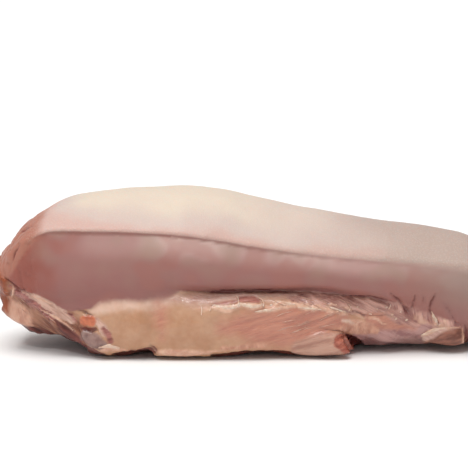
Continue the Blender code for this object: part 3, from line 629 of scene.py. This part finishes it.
def flesh_mesh(sizes):
    """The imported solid's copy, evened out by a voxel remesh and split finer where the trim shows."""
    copy = bmesh.new()
    copy.from_mesh(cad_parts["beef_tongue"].data)
    bmesh.ops.remove_doubles(copy, verts=copy.verts, dist=1e-6)
    data = bpy.data.meshes.new("tongue_flesh")
    copy.to_mesh(data)
    copy.free()
    made = bpy.data.objects.new("tongue_flesh", data)
    bpy.context.scene.collection.objects.link(made)
    remesh = made.modifiers.new("even_cells", "REMESH")
    remesh.mode = "VOXEL"
    remesh.voxel_size = sizes.cell
    evened = bpy.data.meshes.new_from_object(made.evaluated_get(bpy.context.evaluated_depsgraph_get()))
    made.modifiers.clear()
    made.data = evened
    evened.name = "tongue_flesh"
    bpy.data.meshes.remove(data)

    mesh = bmesh.new()
    mesh.from_mesh(evened)
    axes = {"use_axis_x": True, "use_axis_y": True, "use_axis_z": True}
    for _ in range(sizes.easing):
        bmesh.ops.smooth_vert(mesh, verts=mesh.verts, factor=0.5, **axes)
    coords = np.array([v.co for v in mesh.verts]) / MM
    surface = Surface(coords)
    trim_band = (surface.below_skin > -3.0) & (surface.x < 104) & (surface.flank > 0.3) & (surface.z > 1.0)
    ridge_band = (np.abs(surface.over_ridge) < 2.0) & (surface.x > -160) & (surface.x < 50)
    fine = trim_band | ridge_band
    edges = [e for e in mesh.edges if fine[e.verts[0].index] and fine[e.verts[1].index]]
    bmesh.ops.subdivide_edges(mesh, edges=edges, cuts=1, use_grid_fill=True)
    mesh.verts.ensure_lookup_table()
    bmesh.ops.smooth_vert(mesh, verts=mesh.verts[len(coords) :], factor=0.4, **axes)
    bmesh.ops.recalc_face_normals(mesh, faces=mesh.faces)
    mesh.to_mesh(evened)
    mesh.free()
    return made


def read_points(data):
    """The mesh's points and their outward directions, as arrays in millimetres."""
    points = np.empty(len(data.vertices) * 3)
    normals = np.empty(len(data.vertices) * 3)
    data.vertices.foreach_get("co", points)
    data.vertices.foreach_get("normal", normals)
    return points.reshape(-1, 3) / MM, normals.reshape(-1, 3)


def raise_points(data, rise):
    """Moves each point out by so many millimetres, never through the floor."""
    points, normals = read_points(data)
    grounded = smooth(0.3, 3.0, points[:, 2])
    points += normals * (rise * grounded)[:, None]
    points[:, 2] = np.maximum(points[:, 2], 0)
    data.vertices.foreach_set("co", (points * MM).ravel())
    data.update()


def store(data, name, values):
    """Keeps one number a point on the mesh, for the material to read."""
    attribute = data.attributes.new(name, "FLOAT", "POINT")
    attribute.data.foreach_set("value", np.asarray(values, np.float32))


def add_node(tree, kind, sockets=None, out=0, **settings):
    """Adds a node and gives its output out. sockets holds what goes in: values, or outputs to link."""
    node = tree.nodes.new(kind)
    for name, value in settings.items():
        setattr(node, name, value)
    for name, value in (sockets or {}).items():
        if isinstance(value, bpy.types.NodeSocket):
            tree.links.new(value, node.inputs[name])
        else:
            node.inputs[name].default_value = value
    return node.outputs[out]


def tongue_tissue(colours):
    """Raw tongue: keratin-covered mouth skin above, and wet suet, lean and fascia where it was trimmed.

    The rough upper skin is dry and matt, the smooth side skin has a satin gleam, and the cut
    tissues are wet. All of them let some light in, which comes back red.
    """
    material = bpy.data.materials.new("raw_tongue_tissue")
    material.use_nodes = True
    tree = material.node_tree
    shader = tree.nodes["Principled BSDF"]
    place = add_node(tree, "ShaderNodeTexCoord", out="Object")
    read = {}
    grains = [name for name, *_ in GRAINS]
    others = ["over_ridge", "trim", "strand", "even", "lip", "crease", "wet"]
    for name in (*SHADE_NAMES, *TISSUE_COLOURS, *grains, *others):
        read[name] = add_node(tree, "ShaderNodeAttribute", out="Fac", attribute_name=name)
    mottle = {}
    for name, size, detail in (("patch", 11, 3), ("speck", 2.2, 3), ("grit", 2.8, 3), ("pore", 0.8, 2)):
        sockets = {"Vector": place, "Scale": 1 / (size * MM), "Detail": detail}
        mottle[name] = add_node(tree, "ShaderNodeTexNoise", sockets, out="Fac")
    sockets = {"Value": read["over_ridge"], "From Min": -0.7, "From Max": 0.5}
    on_dorsum = add_node(tree, "ShaderNodeMapRange", sockets, interpolation_type="SMOOTHSTEP")

    # The grain of each fibrous tissue, and the even grain of the others, from about -1 to 1.
    swing = {"From Min": 0.25, "From Max": 0.75, "To Min": -1, "To Max": 1}
    grit = add_node(tree, "ShaderNodeMapRange", {"Value": mottle["grit"], **swing})
    grain = add_node(tree, "ShaderNodeMath", {0: grit, 1: read["even"]}, operation="MULTIPLY")
    for name, rise, spacing, length, _ in GRAINS:
        scale = (length * MM, spacing * MM, spacing * MM)
        sockets = {"Vector": place, "Rotation": (0, -math.radians(rise), 0), "Scale": scale}
        turned = add_node(tree, "ShaderNodeMapping", sockets, vector_type="TEXTURE")
        sockets = {"Vector": turned, "Scale": 1.0, "Detail": 2.0}
        drawn = add_node(tree, "ShaderNodeTexNoise", sockets, out="Fac")
        drawn = add_node(tree, "ShaderNodeMapRange", {"Value": drawn, **swing})
        sockets = {0: drawn, 1: read[name], 2: grain}
        grain = add_node(tree, "ShaderNodeMath", sockets, operation="MULTIPLY_ADD")
    light = -0.53  # brings the middle of what is added up to 0
    weights = ((read["strand"], 0.45), (grain, 0.24), (mottle["patch"], 0.9), (mottle["speck"], 0.16))
    for part, weight in weights:
        light = add_node(tree, "ShaderNodeMath", {0: part, 1: weight, 2: light}, operation="MULTIPLY_ADD")
    sockets = {"Value": light, "From Min": -0.4, "From Max": 0.4}
    light = add_node(tree, "ShaderNodeMapRange", sockets, interpolation_type="SMOOTHSTEP")

    # The skins, each colour laid over the ones before it.
    colour = (*colours.side_mauve, 1)
    for name in SHADE_NAMES:
        if name == "dorsum_pink":
            sockets = {0: on_dorsum, 6: colour, 7: (*colours.dorsum_low, 1)}
            colour = add_node(tree, "ShaderNodeMix", sockets, out=2, data_type="RGBA")
        sockets = {0: read[name], 6: colour, 7: (*getattr(colours, name), 1)}
        colour = add_node(tree, "ShaderNodeMix", sockets, out=2, data_type="RGBA")

    # The tissues of the trim, whose masks come to one where the skin is gone.
    sockets = {0: read["trim"], 6: colour, 7: (0, 0, 0, 1)}
    colour = add_node(tree, "ShaderNodeMix", sockets, out=2, data_type="RGBA")
    for name in TISSUE_COLOURS:
        dark, bright = getattr(colours, name + "_dark"), getattr(colours, name + "_light")
        sockets = {0: light, 6: (*dark, 1), 7: (*bright, 1)}
        tissue = add_node(tree, "ShaderNodeMix", sockets, out=2, data_type="RGBA")
        sockets = {0: read[name], 1: tissue, 2: colour}
        colour = add_node(tree, "ShaderNodeVectorMath", sockets, operation="MULTIPLY_ADD")
    # Painted highlight along the fat's torn top edge.
    sockets = {0: read["lip"], 6: colour, 7: (*colours.sinew_light, 1)}
    colour = add_node(tree, "ShaderNodeMix", sockets, out=2, data_type="RGBA")
    # Painted shade: the creases, the fold and the undercut base are darkened towards the crease colour,
    # where the light doesn't reach.
    sockets = {"Value": read["crease"], "From Min": -0.7, "From Max": 0.6, "To Max": 0.9}
    depth = add_node(tree, "ShaderNodeMapRange", sockets, interpolation_type="SMOOTHSTEP")
    sockets = {0: depth, 6: colour, 7: (*colours.crease, 1)}
    colour = add_node(tree, "ShaderNodeMix", sockets, out=2, data_type="RGBA")

    # Papillae on the upper skin.
    sockets = {"Vector": place, "Scale": 1 / (PAPILLA_GAP * MM)}
    papillae = add_node(tree, "ShaderNodeTexVoronoi", sockets, out="Distance")
    sockets = {"Value": papillae, "From Min": 0.6, "From Max": 0.1}
    dots = add_node(tree, "ShaderNodeMapRange", sockets, interpolation_type="SMOOTHSTEP")
    dots = add_node(tree, "ShaderNodeMath", {0: dots, 1: on_dorsum}, operation="MULTIPLY")
    share = add_node(tree, "ShaderNodeMath", {0: dots, 1: 0.12}, operation="MULTIPLY")
    sockets = {0: share, 6: colour, 7: (*colours.papilla, 1)}
    colour = add_node(tree, "ShaderNodeMix", sockets, out=2, data_type="RGBA")

    wet_grain = add_node(tree, "ShaderNodeMath", {0: grain, 1: read["trim"]}, operation="MULTIPLY")
    height = 0.0
    for part, weight in ((dots, 0.4), (mottle["pore"], 0.3), (wet_grain, 0.65)):
        height = add_node(tree, "ShaderNodeMath", {0: part, 1: weight, 2: height}, operation="MULTIPLY_ADD")
    sockets = {"Height": height, "Distance": 0.3 * MM, "Strength": 0.7}
    normal = add_node(tree, "ShaderNodeBump", sockets)
    roughness = 0.4
    for part, weight in ((on_dorsum, 0.16), (read["wet"], -0.12), (mottle["patch"], 0.12)):
        sockets = {0: part, 1: weight, 2: roughness}
        roughness = add_node(tree, "ShaderNodeMath", sockets, operation="MULTIPLY_ADD")
    sockets = {"Value": read["wet"], "To Min": 0.05, "To Max": 0.45}
    wetness = add_node(tree, "ShaderNodeMapRange", sockets)

    tree.links.new(colour, shader.inputs["Base Color"])
    tree.links.new(roughness, shader.inputs["Roughness"])
    tree.links.new(wetness, shader.inputs["Coat Weight"])
    tree.links.new(normal, shader.inputs["Normal"])
    shader.inputs["Subsurface Weight"].default_value = 0.18
    shader.inputs["Subsurface Radius"].default_value = (1.0, 0.42, 0.28)
    shader.inputs["Subsurface Scale"].default_value = 2.5 * MM
    shader.inputs["IOR"].default_value = 1.4
    shader.inputs["Coat Roughness"].default_value = 0.13
    return material


def wet_scrap(name, dark, light, size):
    """A scrap of torn connective tissue or fat: pale, wet and a little see-through."""
    material = bpy.data.materials.new(name)
    material.use_nodes = True
    tree = material.node_tree
    shader = tree.nodes["Principled BSDF"]
    place = add_node(tree, "ShaderNodeTexCoord", out="Object")
    sockets = {"Vector": place, "Scale": 1 / (size * MM), "Detail": 3.0}
    blotch = add_node(tree, "ShaderNodeTexNoise", sockets, out="Fac")
    share = add_node(tree, "ShaderNodeMapRange", {"Value": blotch, "From Min": 0.3, "From Max": 0.7})
    sockets = {0: share, 6: (*dark, 1), 7: (*light, 1)}
    colour = add_node(tree, "ShaderNodeMix", sockets, out=2, data_type="RGBA")
    sockets = {"Vector": place, "Scale": 1 / (0.8 * MM), "Detail": 2.0}
    fine = add_node(tree, "ShaderNodeTexNoise", sockets, out="Fac")
    roughness = add_node(tree, "ShaderNodeMapRange", {"Value": blotch, "To Min": 0.25, "To Max": 0.45})
    tree.links.new(colour, shader.inputs["Base Color"])
    tree.links.new(roughness, shader.inputs["Roughness"])
    normal = add_node(tree, "ShaderNodeBump", {"Height": fine, "Distance": 0.2 * MM})
    tree.links.new(normal, shader.inputs["Normal"])
    shader.inputs["Subsurface Weight"].default_value = 0.35
    shader.inputs["Subsurface Radius"].default_value = (1.0, 0.5, 0.35)
    shader.inputs["Subsurface Scale"].default_value = 2.0 * MM
    shader.inputs["IOR"].default_value = 1.4
    shader.inputs["Coat Weight"].default_value = 0.4
    shader.inputs["Coat Roughness"].default_value = 0.12
    return material


def flesh_tree():
    """What lies under a scrap: the finished flesh, to be asked for points of its surface."""
    flesh = bpy.data.objects.get("tongue_flesh")
    if flesh is None:
        raise RuntimeError("make the flesh first: the scraps lie on it")
    return BVHTree.FromObject(flesh, bpy.context.evaluated_depsgraph_get())


def on_flesh(tree, x, z, side, lift=0.0):
    """The point of the flesh seen at x and z on one side, and the direction out of it, in mm."""
    at_x, at_z = x, z
    for _ in range(3):  # steps towards the place that is seen there
        start = Vector((at_x * MM, side * OUTSIDE * MM, at_z * MM))
        spot, normal, _, _ = tree.ray_cast(start, Vector((0, -side, 0)))
        if spot is None:  # past the outline, so the nearest edge of it
            spot, normal, _, _ = tree.find_nearest(Vector((at_x * MM, side * FLANK * MM, at_z * MM)))
        seen_x, seen_z = as_seen(at_x, abs(spot.y) / MM, at_z)
        at_x, at_z = at_x + x - seen_x, at_z + z - seen_z
    return spot / MM + normal * lift, normal


def finish_piece(mesh, name, material):
    """An object in metres from a bmesh in millimetres, riding on the root body."""
    bmesh.ops.recalc_face_normals(mesh, faces=mesh.faces)
    bmesh.ops.scale(mesh, vec=(MM, MM, MM), verts=mesh.verts)
    data = bpy.data.meshes.new(name)
    mesh.to_mesh(data)
    mesh.free()
    made = bpy.data.objects.new(name, data)
    bpy.context.scene.collection.objects.link(made)
    data.materials.append(material)
    data.shade_smooth()
    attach(made, "root")
    return made


def grow_strand(mesh, spots, radii, sides=6):
    """A tapered strand through the spots: a disc drawn out from each to the next, and closed."""
    ring = bmesh.ops.create_circle(mesh, cap_ends=True, segments=sides, radius=1.0)["verts"]
    face = ring[0].link_faces[0]
    for k, (spot, radius) in enumerate(zip(spots, radii)):
        ahead = (spots[min(k + 1, len(spots) - 1)] - spots[max(k - 1, 0)]).normalized()
        across = ahead.cross(Vector((0.1, 0.9, 0.3))).normalized()
        upward = across.cross(ahead)
        if k:
            face = bmesh.ops.extrude_discrete_faces(mesh, faces=[face])["faces"][0]
        for turn, vertex in enumerate(face.verts):
            angle = turn / sides * math.tau
            vertex.co = spot + (across * math.cos(angle) + upward * math.sin(angle)) * radius


def lay_flake(mesh, tree, run, side):
    """A torn flake of membrane along a run of knots, its lower edge in the flesh and its upper one free."""
    last = len(run) - 1
    for vertex in bmesh.ops.create_grid(mesh, x_segments=7 * last, y_segments=4, size=0.5)["verts"]:
        at = (vertex.co.x + 0.5) * last
        across = 2 * vertex.co.y
        x, z, half = (float(np.interp(at, range(last + 1), values)) for values in zip(*run))
        knot = min(int(at), last - 1)
        ahead = Vector((run[knot + 1][0] - run[knot][0], run[knot + 1][1] - run[knot][1])).normalized()
        ragged = noise.noise(Vector((x / 1.3, z / 1.3, side * 5.0)))
        reach = across * half * (1 + 0.7 * ragged * (across > 0))
        lift = -0.12 + (0.4 + 0.4 * half) * (1 + across) / 2
        vertex.co, _ = on_flesh(tree, x - ahead.y * reach, z + ahead.x * reach, side, lift)


def colour_property(name, code, description):
    """A colour property whose default is an sRGB hex code."""
    return bpy.props.FloatVectorProperty(
        name=name, description=description, subtype="COLOR", size=3, min=0, max=1, default=linear(code)
    )


class TongueSizes(bpy.types.PropertyGroup):
    """Sizes of the flesh's surface and of the scraps on it."""

    cell: bpy.props.FloatProperty(
        name="Cell", description="Cell of the even mesh", default=1.62 * MM, min=0.001, unit="LENGTH"
    )
    easing: bpy.props.IntProperty(
        name="Easing", description="Passes that ease the solid's facets", default=5, min=0, max=20
    )
    groove: bpy.props.FloatProperty(
        name="Groove", description="Depth of the fold and the creases", default=1.5 * MM, unit="LENGTH"
    )
    lump: bpy.props.FloatProperty(
        name="Lump", description="Height of the lumps of fat", default=0.8 * MM, unit="LENGTH"
    )
    fibre: bpy.props.FloatProperty(
        name="Fibre", description="Depth of the fibres against each tissue's own", default=1.0, min=0, max=3
    )
    fringe: bpy.props.FloatProperty(
        name="Fringe", description="Thickness of the torn membrane", default=0.45 * MM, unit="LENGTH"
    )


class TongueColours(bpy.types.PropertyGroup):
    """Colours of the skins and tissues."""

    side_mauve: colour_property("Side skin, mauve", "#9C6B65", "Smooth side skin halfway down")
    # Painted highlight and painted shade of the side skin: its pale band under the ridge and its darker part
    # over the fold.
    side_pale: colour_property("Side skin, pale", "#D2B3AB", "Smooth side skin just under the ridge")
    side_deep: colour_property("Side skin, deep", "#925F5A", "Smooth side skin over the fold")
    side_grey: colour_property("Side skin, grey", "#A38A77", "Greyish clouds of the side skin")
    side_warm: colour_property("Side skin, warm", "#A26A5E", "Warmer patches of the side skin")
    tip_skin: colour_property("Tip skin", "#978277", "Side skin towards the tip")
    root_skin: colour_property("Root skin", "#945043", "Reddish skin at the root")
    root_pink: colour_property("Root skin, pink", "#A9705E", "Loose skin along the root's upper edge")
    # The upper skin's colours grow paler with height: partly its own tone, partly painted light on the top
    # of the hump.
    dorsum_low: colour_property("Upper skin, edge", "#C8A59A", "Rough upper skin beside its edge")
    dorsum_pink: colour_property("Upper skin, pink", "#C9B4AA", "Rough upper skin")
    dorsum_cream: colour_property("Upper skin, cream", "#D6C5B3", "Cream top of the hump")
    dorsum_tip: colour_property("Upper skin, tip", "#B09A8F", "Rough upper skin towards the tip")
    papilla: colour_property("Papilla", "#E0D4C6", "Tips of the papillae")
    # Painted shade in the groove under the rough skin's edge.
    ridge_line: colour_property("Ridge line", "#8E5F55", "The line under the edge of the rough skin")
    # Painted shade that the creases, the fold and the undercut base are darkened towards.
    crease: colour_property("Crease", "#6C302B", "The depth of the fold and the creases")


for part, (label, dark, bright, what) in (TISSUE_COLOURS | SCRAP_COLOURS).items():
    pair = {"_dark": (", dark", dark), "_light": (", light", bright)}
    for ending, (shade, code) in pair.items():
        TongueColours.__annotations__[part + ending] = colour_property(label + shade, code, what)


class TongueStage(bpy.types.PropertyGroup):
    """The camera, the light and the floor."""

    distance: bpy.props.FloatProperty(
        name="Distance",
        description="From the camera to what it aims at",
        default=VIEW_DISTANCE * MM,
        unit="LENGTH",
    )
    elevation: bpy.props.FloatProperty(
        name="Elevation",
        description="How far the camera looks down",
        default=math.radians(9),
        subtype="ANGLE",
    )
    span: bpy.props.FloatProperty(
        name="Span", description="Width that the picture takes in", default=0.285, unit="LENGTH"
    )
    sky: bpy.props.FloatProperty(
        name="Sky", description="Brightness of the soft light all round", default=0.5
    )
    key: bpy.props.FloatProperty(
        name="Key", description="Strength of the soft light from above", default=2.1
    )
    glint: bpy.props.FloatProperty(
        name="Glint", description="Strength of the small lamp in front", default=0.5
    )
    floor: colour_property("Floor", "#F2F2F1", "Matt white board")


class TONGUE_OT_flesh(bpy.types.Operator):
    """Makes the whole surface of the tongue: its skins, and the trim under them"""

    bl_idname = "tongue.flesh"
    bl_label = "Flesh"

    def execute(self, context):
        sizes = context.scene.tongue_sizes
        made = flesh_mesh(sizes)
        data = made.data
        tuck_base(data)
        points, _ = read_points(data)
        surface = Surface(points)
        crease = surface.crease()
        masks = surface.tissues()
        groove = smooth(-1.3, 0.5, crease) * sizes.groove / MM * surface.flank
        raise_points(data, puffs(surface) - groove)

        ridges, depths = surface.fibres(masks)
        lumps = 0.7 * wander(points, 8.0, 6.1) + 0.3 * wander(points, 3.4, 7.7)
        bare_fat = masks["suet"] + masks["suet_top"] + masks["cream"]
        rise = ridge_lip(surface) + root_wrinkles(surface)
        rise += lumps * sizes.lump / MM * surface.trim * (0.5 + 0.5 * bare_fat)
        rise += (0.35 * wander(points, 17.0, 3.3) + 0.12 * surface.coarse) * (1 - surface.trim)
        rise += 0.08 * wander(points, 3.2, 1.9) * smooth(0, 2, surface.over_ridge)
        rise += ridges * depths * sizes.fibre
        rise += sum(lift * masks[name] for name, lift in LIFTS.items())
        raise_points(data, rise)

        # Painted highlight: a pale band in the sinew's light colour along the fat's torn top edge.
        lip = smooth(1.6, 0, np.abs(surface.below_fat_edge - 0.7)) * surface.has_fat_edge * surface.trim
        lip *= smooth(-0.1, 0.35, surface.coarse + 0.5 * surface.fine) * smooth(-66, -50, surface.shifted_x)
        rough = surface.onto_dorsum - 200 * smooth(-163, -173, surface.x)
        readings = {"over_ridge": rough, "trim": surface.trim, "strand": ridges, "lip": 0.8 * lip}
        readings["crease"] = np.maximum(crease, -3)
        dull = masks["rim"] + 0.7 * masks["root_meat"] + 0.7 * masks["muscle"] + 0.5 * masks["film"]
        readings["wet"] = surface.trim - dull - 0.4 * masks["bridle"]
        for name, _, _, _, tissues in GRAINS:
            readings[name] = sum(masks[tissue] for tissue in tissues)
        readings["even"] = 1 - sum(readings[name] for name, *_ in GRAINS) - 0.65 * bare_fat
        for name, values in (readings | surface.shades() | masks).items():
            store(data, name, values)
        data.materials.clear()
        data.materials.append(tongue_tissue(context.scene.tongue_colours))
        data.shade_smooth()
        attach(made, "root")
        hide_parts("beef_tongue")
        return {"FINISHED"}


class TONGUE_OT_fringe(bpy.types.Operator):
    """Makes the flakes and spikes of torn membrane that stand up along the fat's edge"""

    bl_idname = "tongue.fringe"
    bl_label = "Torn fringe"

    def execute(self, context):
        sizes = context.scene.tongue_sizes
        colours = context.scene.tongue_colours
        tree = flesh_tree()
        mesh = bmesh.new()
        for side, flakes in FLAKES.items():
            for run in flakes:
                lay_flake(mesh, tree, run, side)
        bmesh.ops.solidify(mesh, geom=mesh.faces[:], thickness=sizes.fringe / MM)
        for side, spikes in SPIKES.items():
            for run in spikes:
                spots, radii = [], []
                for step in range(3 * (len(run) - 1) + 1):
                    at = step / 3
                    x, z, radius = (float(np.interp(at, range(len(run)), line)) for line in zip(*run))
                    lift = 0.1 + 1.1 * (at / (len(run) - 1)) ** 1.5
                    spots.append(on_flesh(tree, x, z, side, lift)[0])
                    radii.append(radius)
                grow_strand(mesh, spots, radii, sides=8)
        material = wet_scrap("torn_membrane", colours.fringe_dark, colours.fringe_light, 3.0)
        made = finish_piece(mesh, "torn_fringe", material)
        soften = made.modifiers.new("soften", "SUBSURF")
        soften.levels = soften.render_levels = 1
        return {"FINISHED"}


class TONGUE_OT_strands(bpy.types.Operator):
    """Makes the thin strands of sinew that lie along the fibres of the trim"""

    bl_idname = "tongue.strands"
    bl_label = "Strands"

    def execute(self, context):
        colours = context.scene.tongue_colours
        tree = flesh_tree()
        rng = random.Random(7)
        mesh = bmesh.new()
        for side, (x0, z0), (x1, z1), width, rise, shortest, longest, count in STRAND_BUNDLES:
            for _ in range(count):
                share = rng.random()
                x = x0 + (x1 - x0) * share
                z = z0 + (z1 - z0) * share + rng.uniform(-0.5, 0.5) * width
                turn = math.radians(rise + rng.uniform(-4, 4))
                length = rng.uniform(shortest, longest)
                radius = rng.uniform(0.2, 0.42)
                spots, radii = [], []
                for k in range(11):
                    part = k / 10
                    bend = 0.7 * noise.noise(Vector((x / 5, z / 5, part * 1.4)))
                    at_x = x + (part - 0.5) * length * math.cos(turn)
                    at_z = max(3, z + (part - 0.5) * length * math.sin(turn) + bend)
                    dip = 0.35 * noise.noise(Vector((x, z, part * 2.5)))
                    spots.append(on_flesh(tree, at_x, at_z, side, dip)[0])
                    radii.append(radius * math.sin(math.pi * (0.04 + 0.92 * part)) ** 0.7)
                grow_strand(mesh, spots, radii)
        material = wet_scrap("sinew", colours.strand_dark, colours.strand_light, 4.0)
        finish_piece(mesh, "sinew_strands", material)
        return {"FINISHED"}


class TONGUE_OT_beads(bpy.types.Operator):
    """Makes the beads of fat on the torn edge, pale as a painted highlight where it glints"""

    bl_idname = "tongue.beads"
    bl_label = "Beads of fat"

    def execute(self, context):
        colours = context.scene.tongue_colours
        tree = flesh_tree()
        rng = random.Random(3)
        mesh = bmesh.new()
        for side, beads in BEADS.items():
            for x, z, size in beads:
                spot, normal = on_flesh(tree, x, z, side)
                bead = bmesh.ops.create_icosphere(mesh, subdivisions=2, radius=1.0)["verts"]
                lean = Vector((1, 0, rng.uniform(-0.3, 0.9))).normalized()
                upward = normal.cross(lean).normalized()
                long, flat = size * rng.uniform(1.1, 1.9), size * 0.5
                for vertex in bead:
                    local = vertex.co * (1 + 0.3 * noise.noise(vertex.co * 1.3 + Vector((x, z, 0))))
                    in_plane = spot + lean * local.x * long + upward * local.y * size
                    vertex.co = in_plane + normal * local.z * flat
        # Pale fat colours that also serve as a painted highlight.
        material = wet_scrap("fat_bead", colours.strand_light, colours.fringe_light, 2.0)
        finish_piece(mesh, "fat_beads", material)
        return {"FINISHED"}


class TONGUE_OT_stage(bpy.types.Operator):
    """Makes the white floor, the soft light and the camera"""

    bl_idname = "tongue.stage"
    bl_label = "Stage"

    def execute(self, context):
        stage = context.scene.tongue_stage
        context.scene.view_settings.view_transform = "Standard"

        board = bmesh.new()
        bmesh.ops.create_grid(board, x_segments=1, y_segments=1, size=30.0)
        bmesh.ops.translate(board, verts=board.verts, vec=(0, 0, -FLOOR_GAP * MM))
        data = bpy.data.meshes.new("floor")
        board.to_mesh(data)
        board.free()
        floor = bpy.data.objects.new("floor", data)
        context.scene.collection.objects.link(floor)
        # Matt painted board with hardly any gloss, so all that it shows is the soft shadow.
        white = bpy.data.materials.new("matt_board")
        white.use_nodes = True
        shader = white.node_tree.nodes["Principled BSDF"]
        shader.inputs["Base Color"].default_value = (*stage.floor, 1)
        shader.inputs["Roughness"].default_value = 0.9
        shader.inputs["Specular IOR Level"].default_value = 0.1
        data.materials.append(white)

        world = bpy.data.worlds.new("soft_studio")
        world.use_nodes = True
        background = world.node_tree.nodes["Background"]
        background.inputs["Color"].default_value = (1, 1, 1, 1)
        background.inputs["Strength"].default_value = stage.sky
        context.scene.world = world

        lamps = (
            ("overhead_softbox", stage.key, 40, (0.15, 0.18, -1.0)),
            ("front_lamp", stage.glint, 8, (0.3, 0.6, -0.75)),
        )
        for name, energy, spread, direction in lamps:
            light = bpy.data.lights.new(name, "SUN")
            light.energy = energy
            light.angle = math.radians(spread)
            lamp = bpy.data.objects.new(name, light)
            lamp.rotation_mode = "QUATERNION"
            lamp.rotation_quaternion = Vector(direction).to_track_quat("-Z", "Y")
            context.scene.collection.objects.link(lamp)

        lens = bpy.data.cameras.new("camera")
        lens.sensor_width = 36
        lens.lens = 36 * stage.distance / stage.span
        lens.clip_end = 100
        camera = bpy.data.objects.new("camera", lens)
        back = Vector((0, -math.cos(stage.elevation), math.sin(stage.elevation)))
        camera.location = Vector((AIM_X * MM, 0, AIM_Z * MM)) + back * stage.distance
        camera.rotation_mode = "QUATERNION"
        camera.rotation_quaternion = (-back).to_track_quat("-Z", "Y")
        context.scene.collection.objects.link(camera)
        context.scene.camera = camera
        return {"FINISHED"}


class TONGUE_PT_panel(bpy.types.Panel):
    """Lists the tongue's pieces"""

    bl_idname = "TONGUE_PT_panel"
    bl_label = "Raw beef tongue"
    bl_space_type = "VIEW_3D"
    bl_region_type = "UI"
    bl_category = "Tongue"

    def draw(self, context):
        for operator in OPERATORS:
            self.layout.operator(operator.bl_idname)
        for group in (context.scene.tongue_sizes, context.scene.tongue_colours, context.scene.tongue_stage):
            box = self.layout.box()
            for name in group.bl_rna.properties.keys():
                if name not in ("rna_type", "name"):
                    box.prop(group, name)


OPERATORS = (TONGUE_OT_flesh, TONGUE_OT_fringe, TONGUE_OT_strands, TONGUE_OT_beads, TONGUE_OT_stage)
CLASSES = (TongueSizes, TongueColours, TongueStage, *OPERATORS, TONGUE_PT_panel)


def register():
    for cls in CLASSES:
        bpy.utils.register_class(cls)
    bpy.types.Scene.tongue_sizes = bpy.props.PointerProperty(type=TongueSizes)
    bpy.types.Scene.tongue_colours = bpy.props.PointerProperty(type=TongueColours)
    bpy.types.Scene.tongue_stage = bpy.props.PointerProperty(type=TongueStage)


def unregister():
    del bpy.types.Scene.tongue_stage
    del bpy.types.Scene.tongue_colours
    del bpy.types.Scene.tongue_sizes
    for cls in reversed(CLASSES):
        bpy.utils.unregister_class(cls)


def main():
    """Makes every piece in order."""
    register()
    bpy.ops.tongue.flesh()
    bpy.ops.tongue.fringe()
    bpy.ops.tongue.strands()
    bpy.ops.tongue.beads()
    bpy.ops.tongue.stage()


if __name__ == "__main__":
    main()
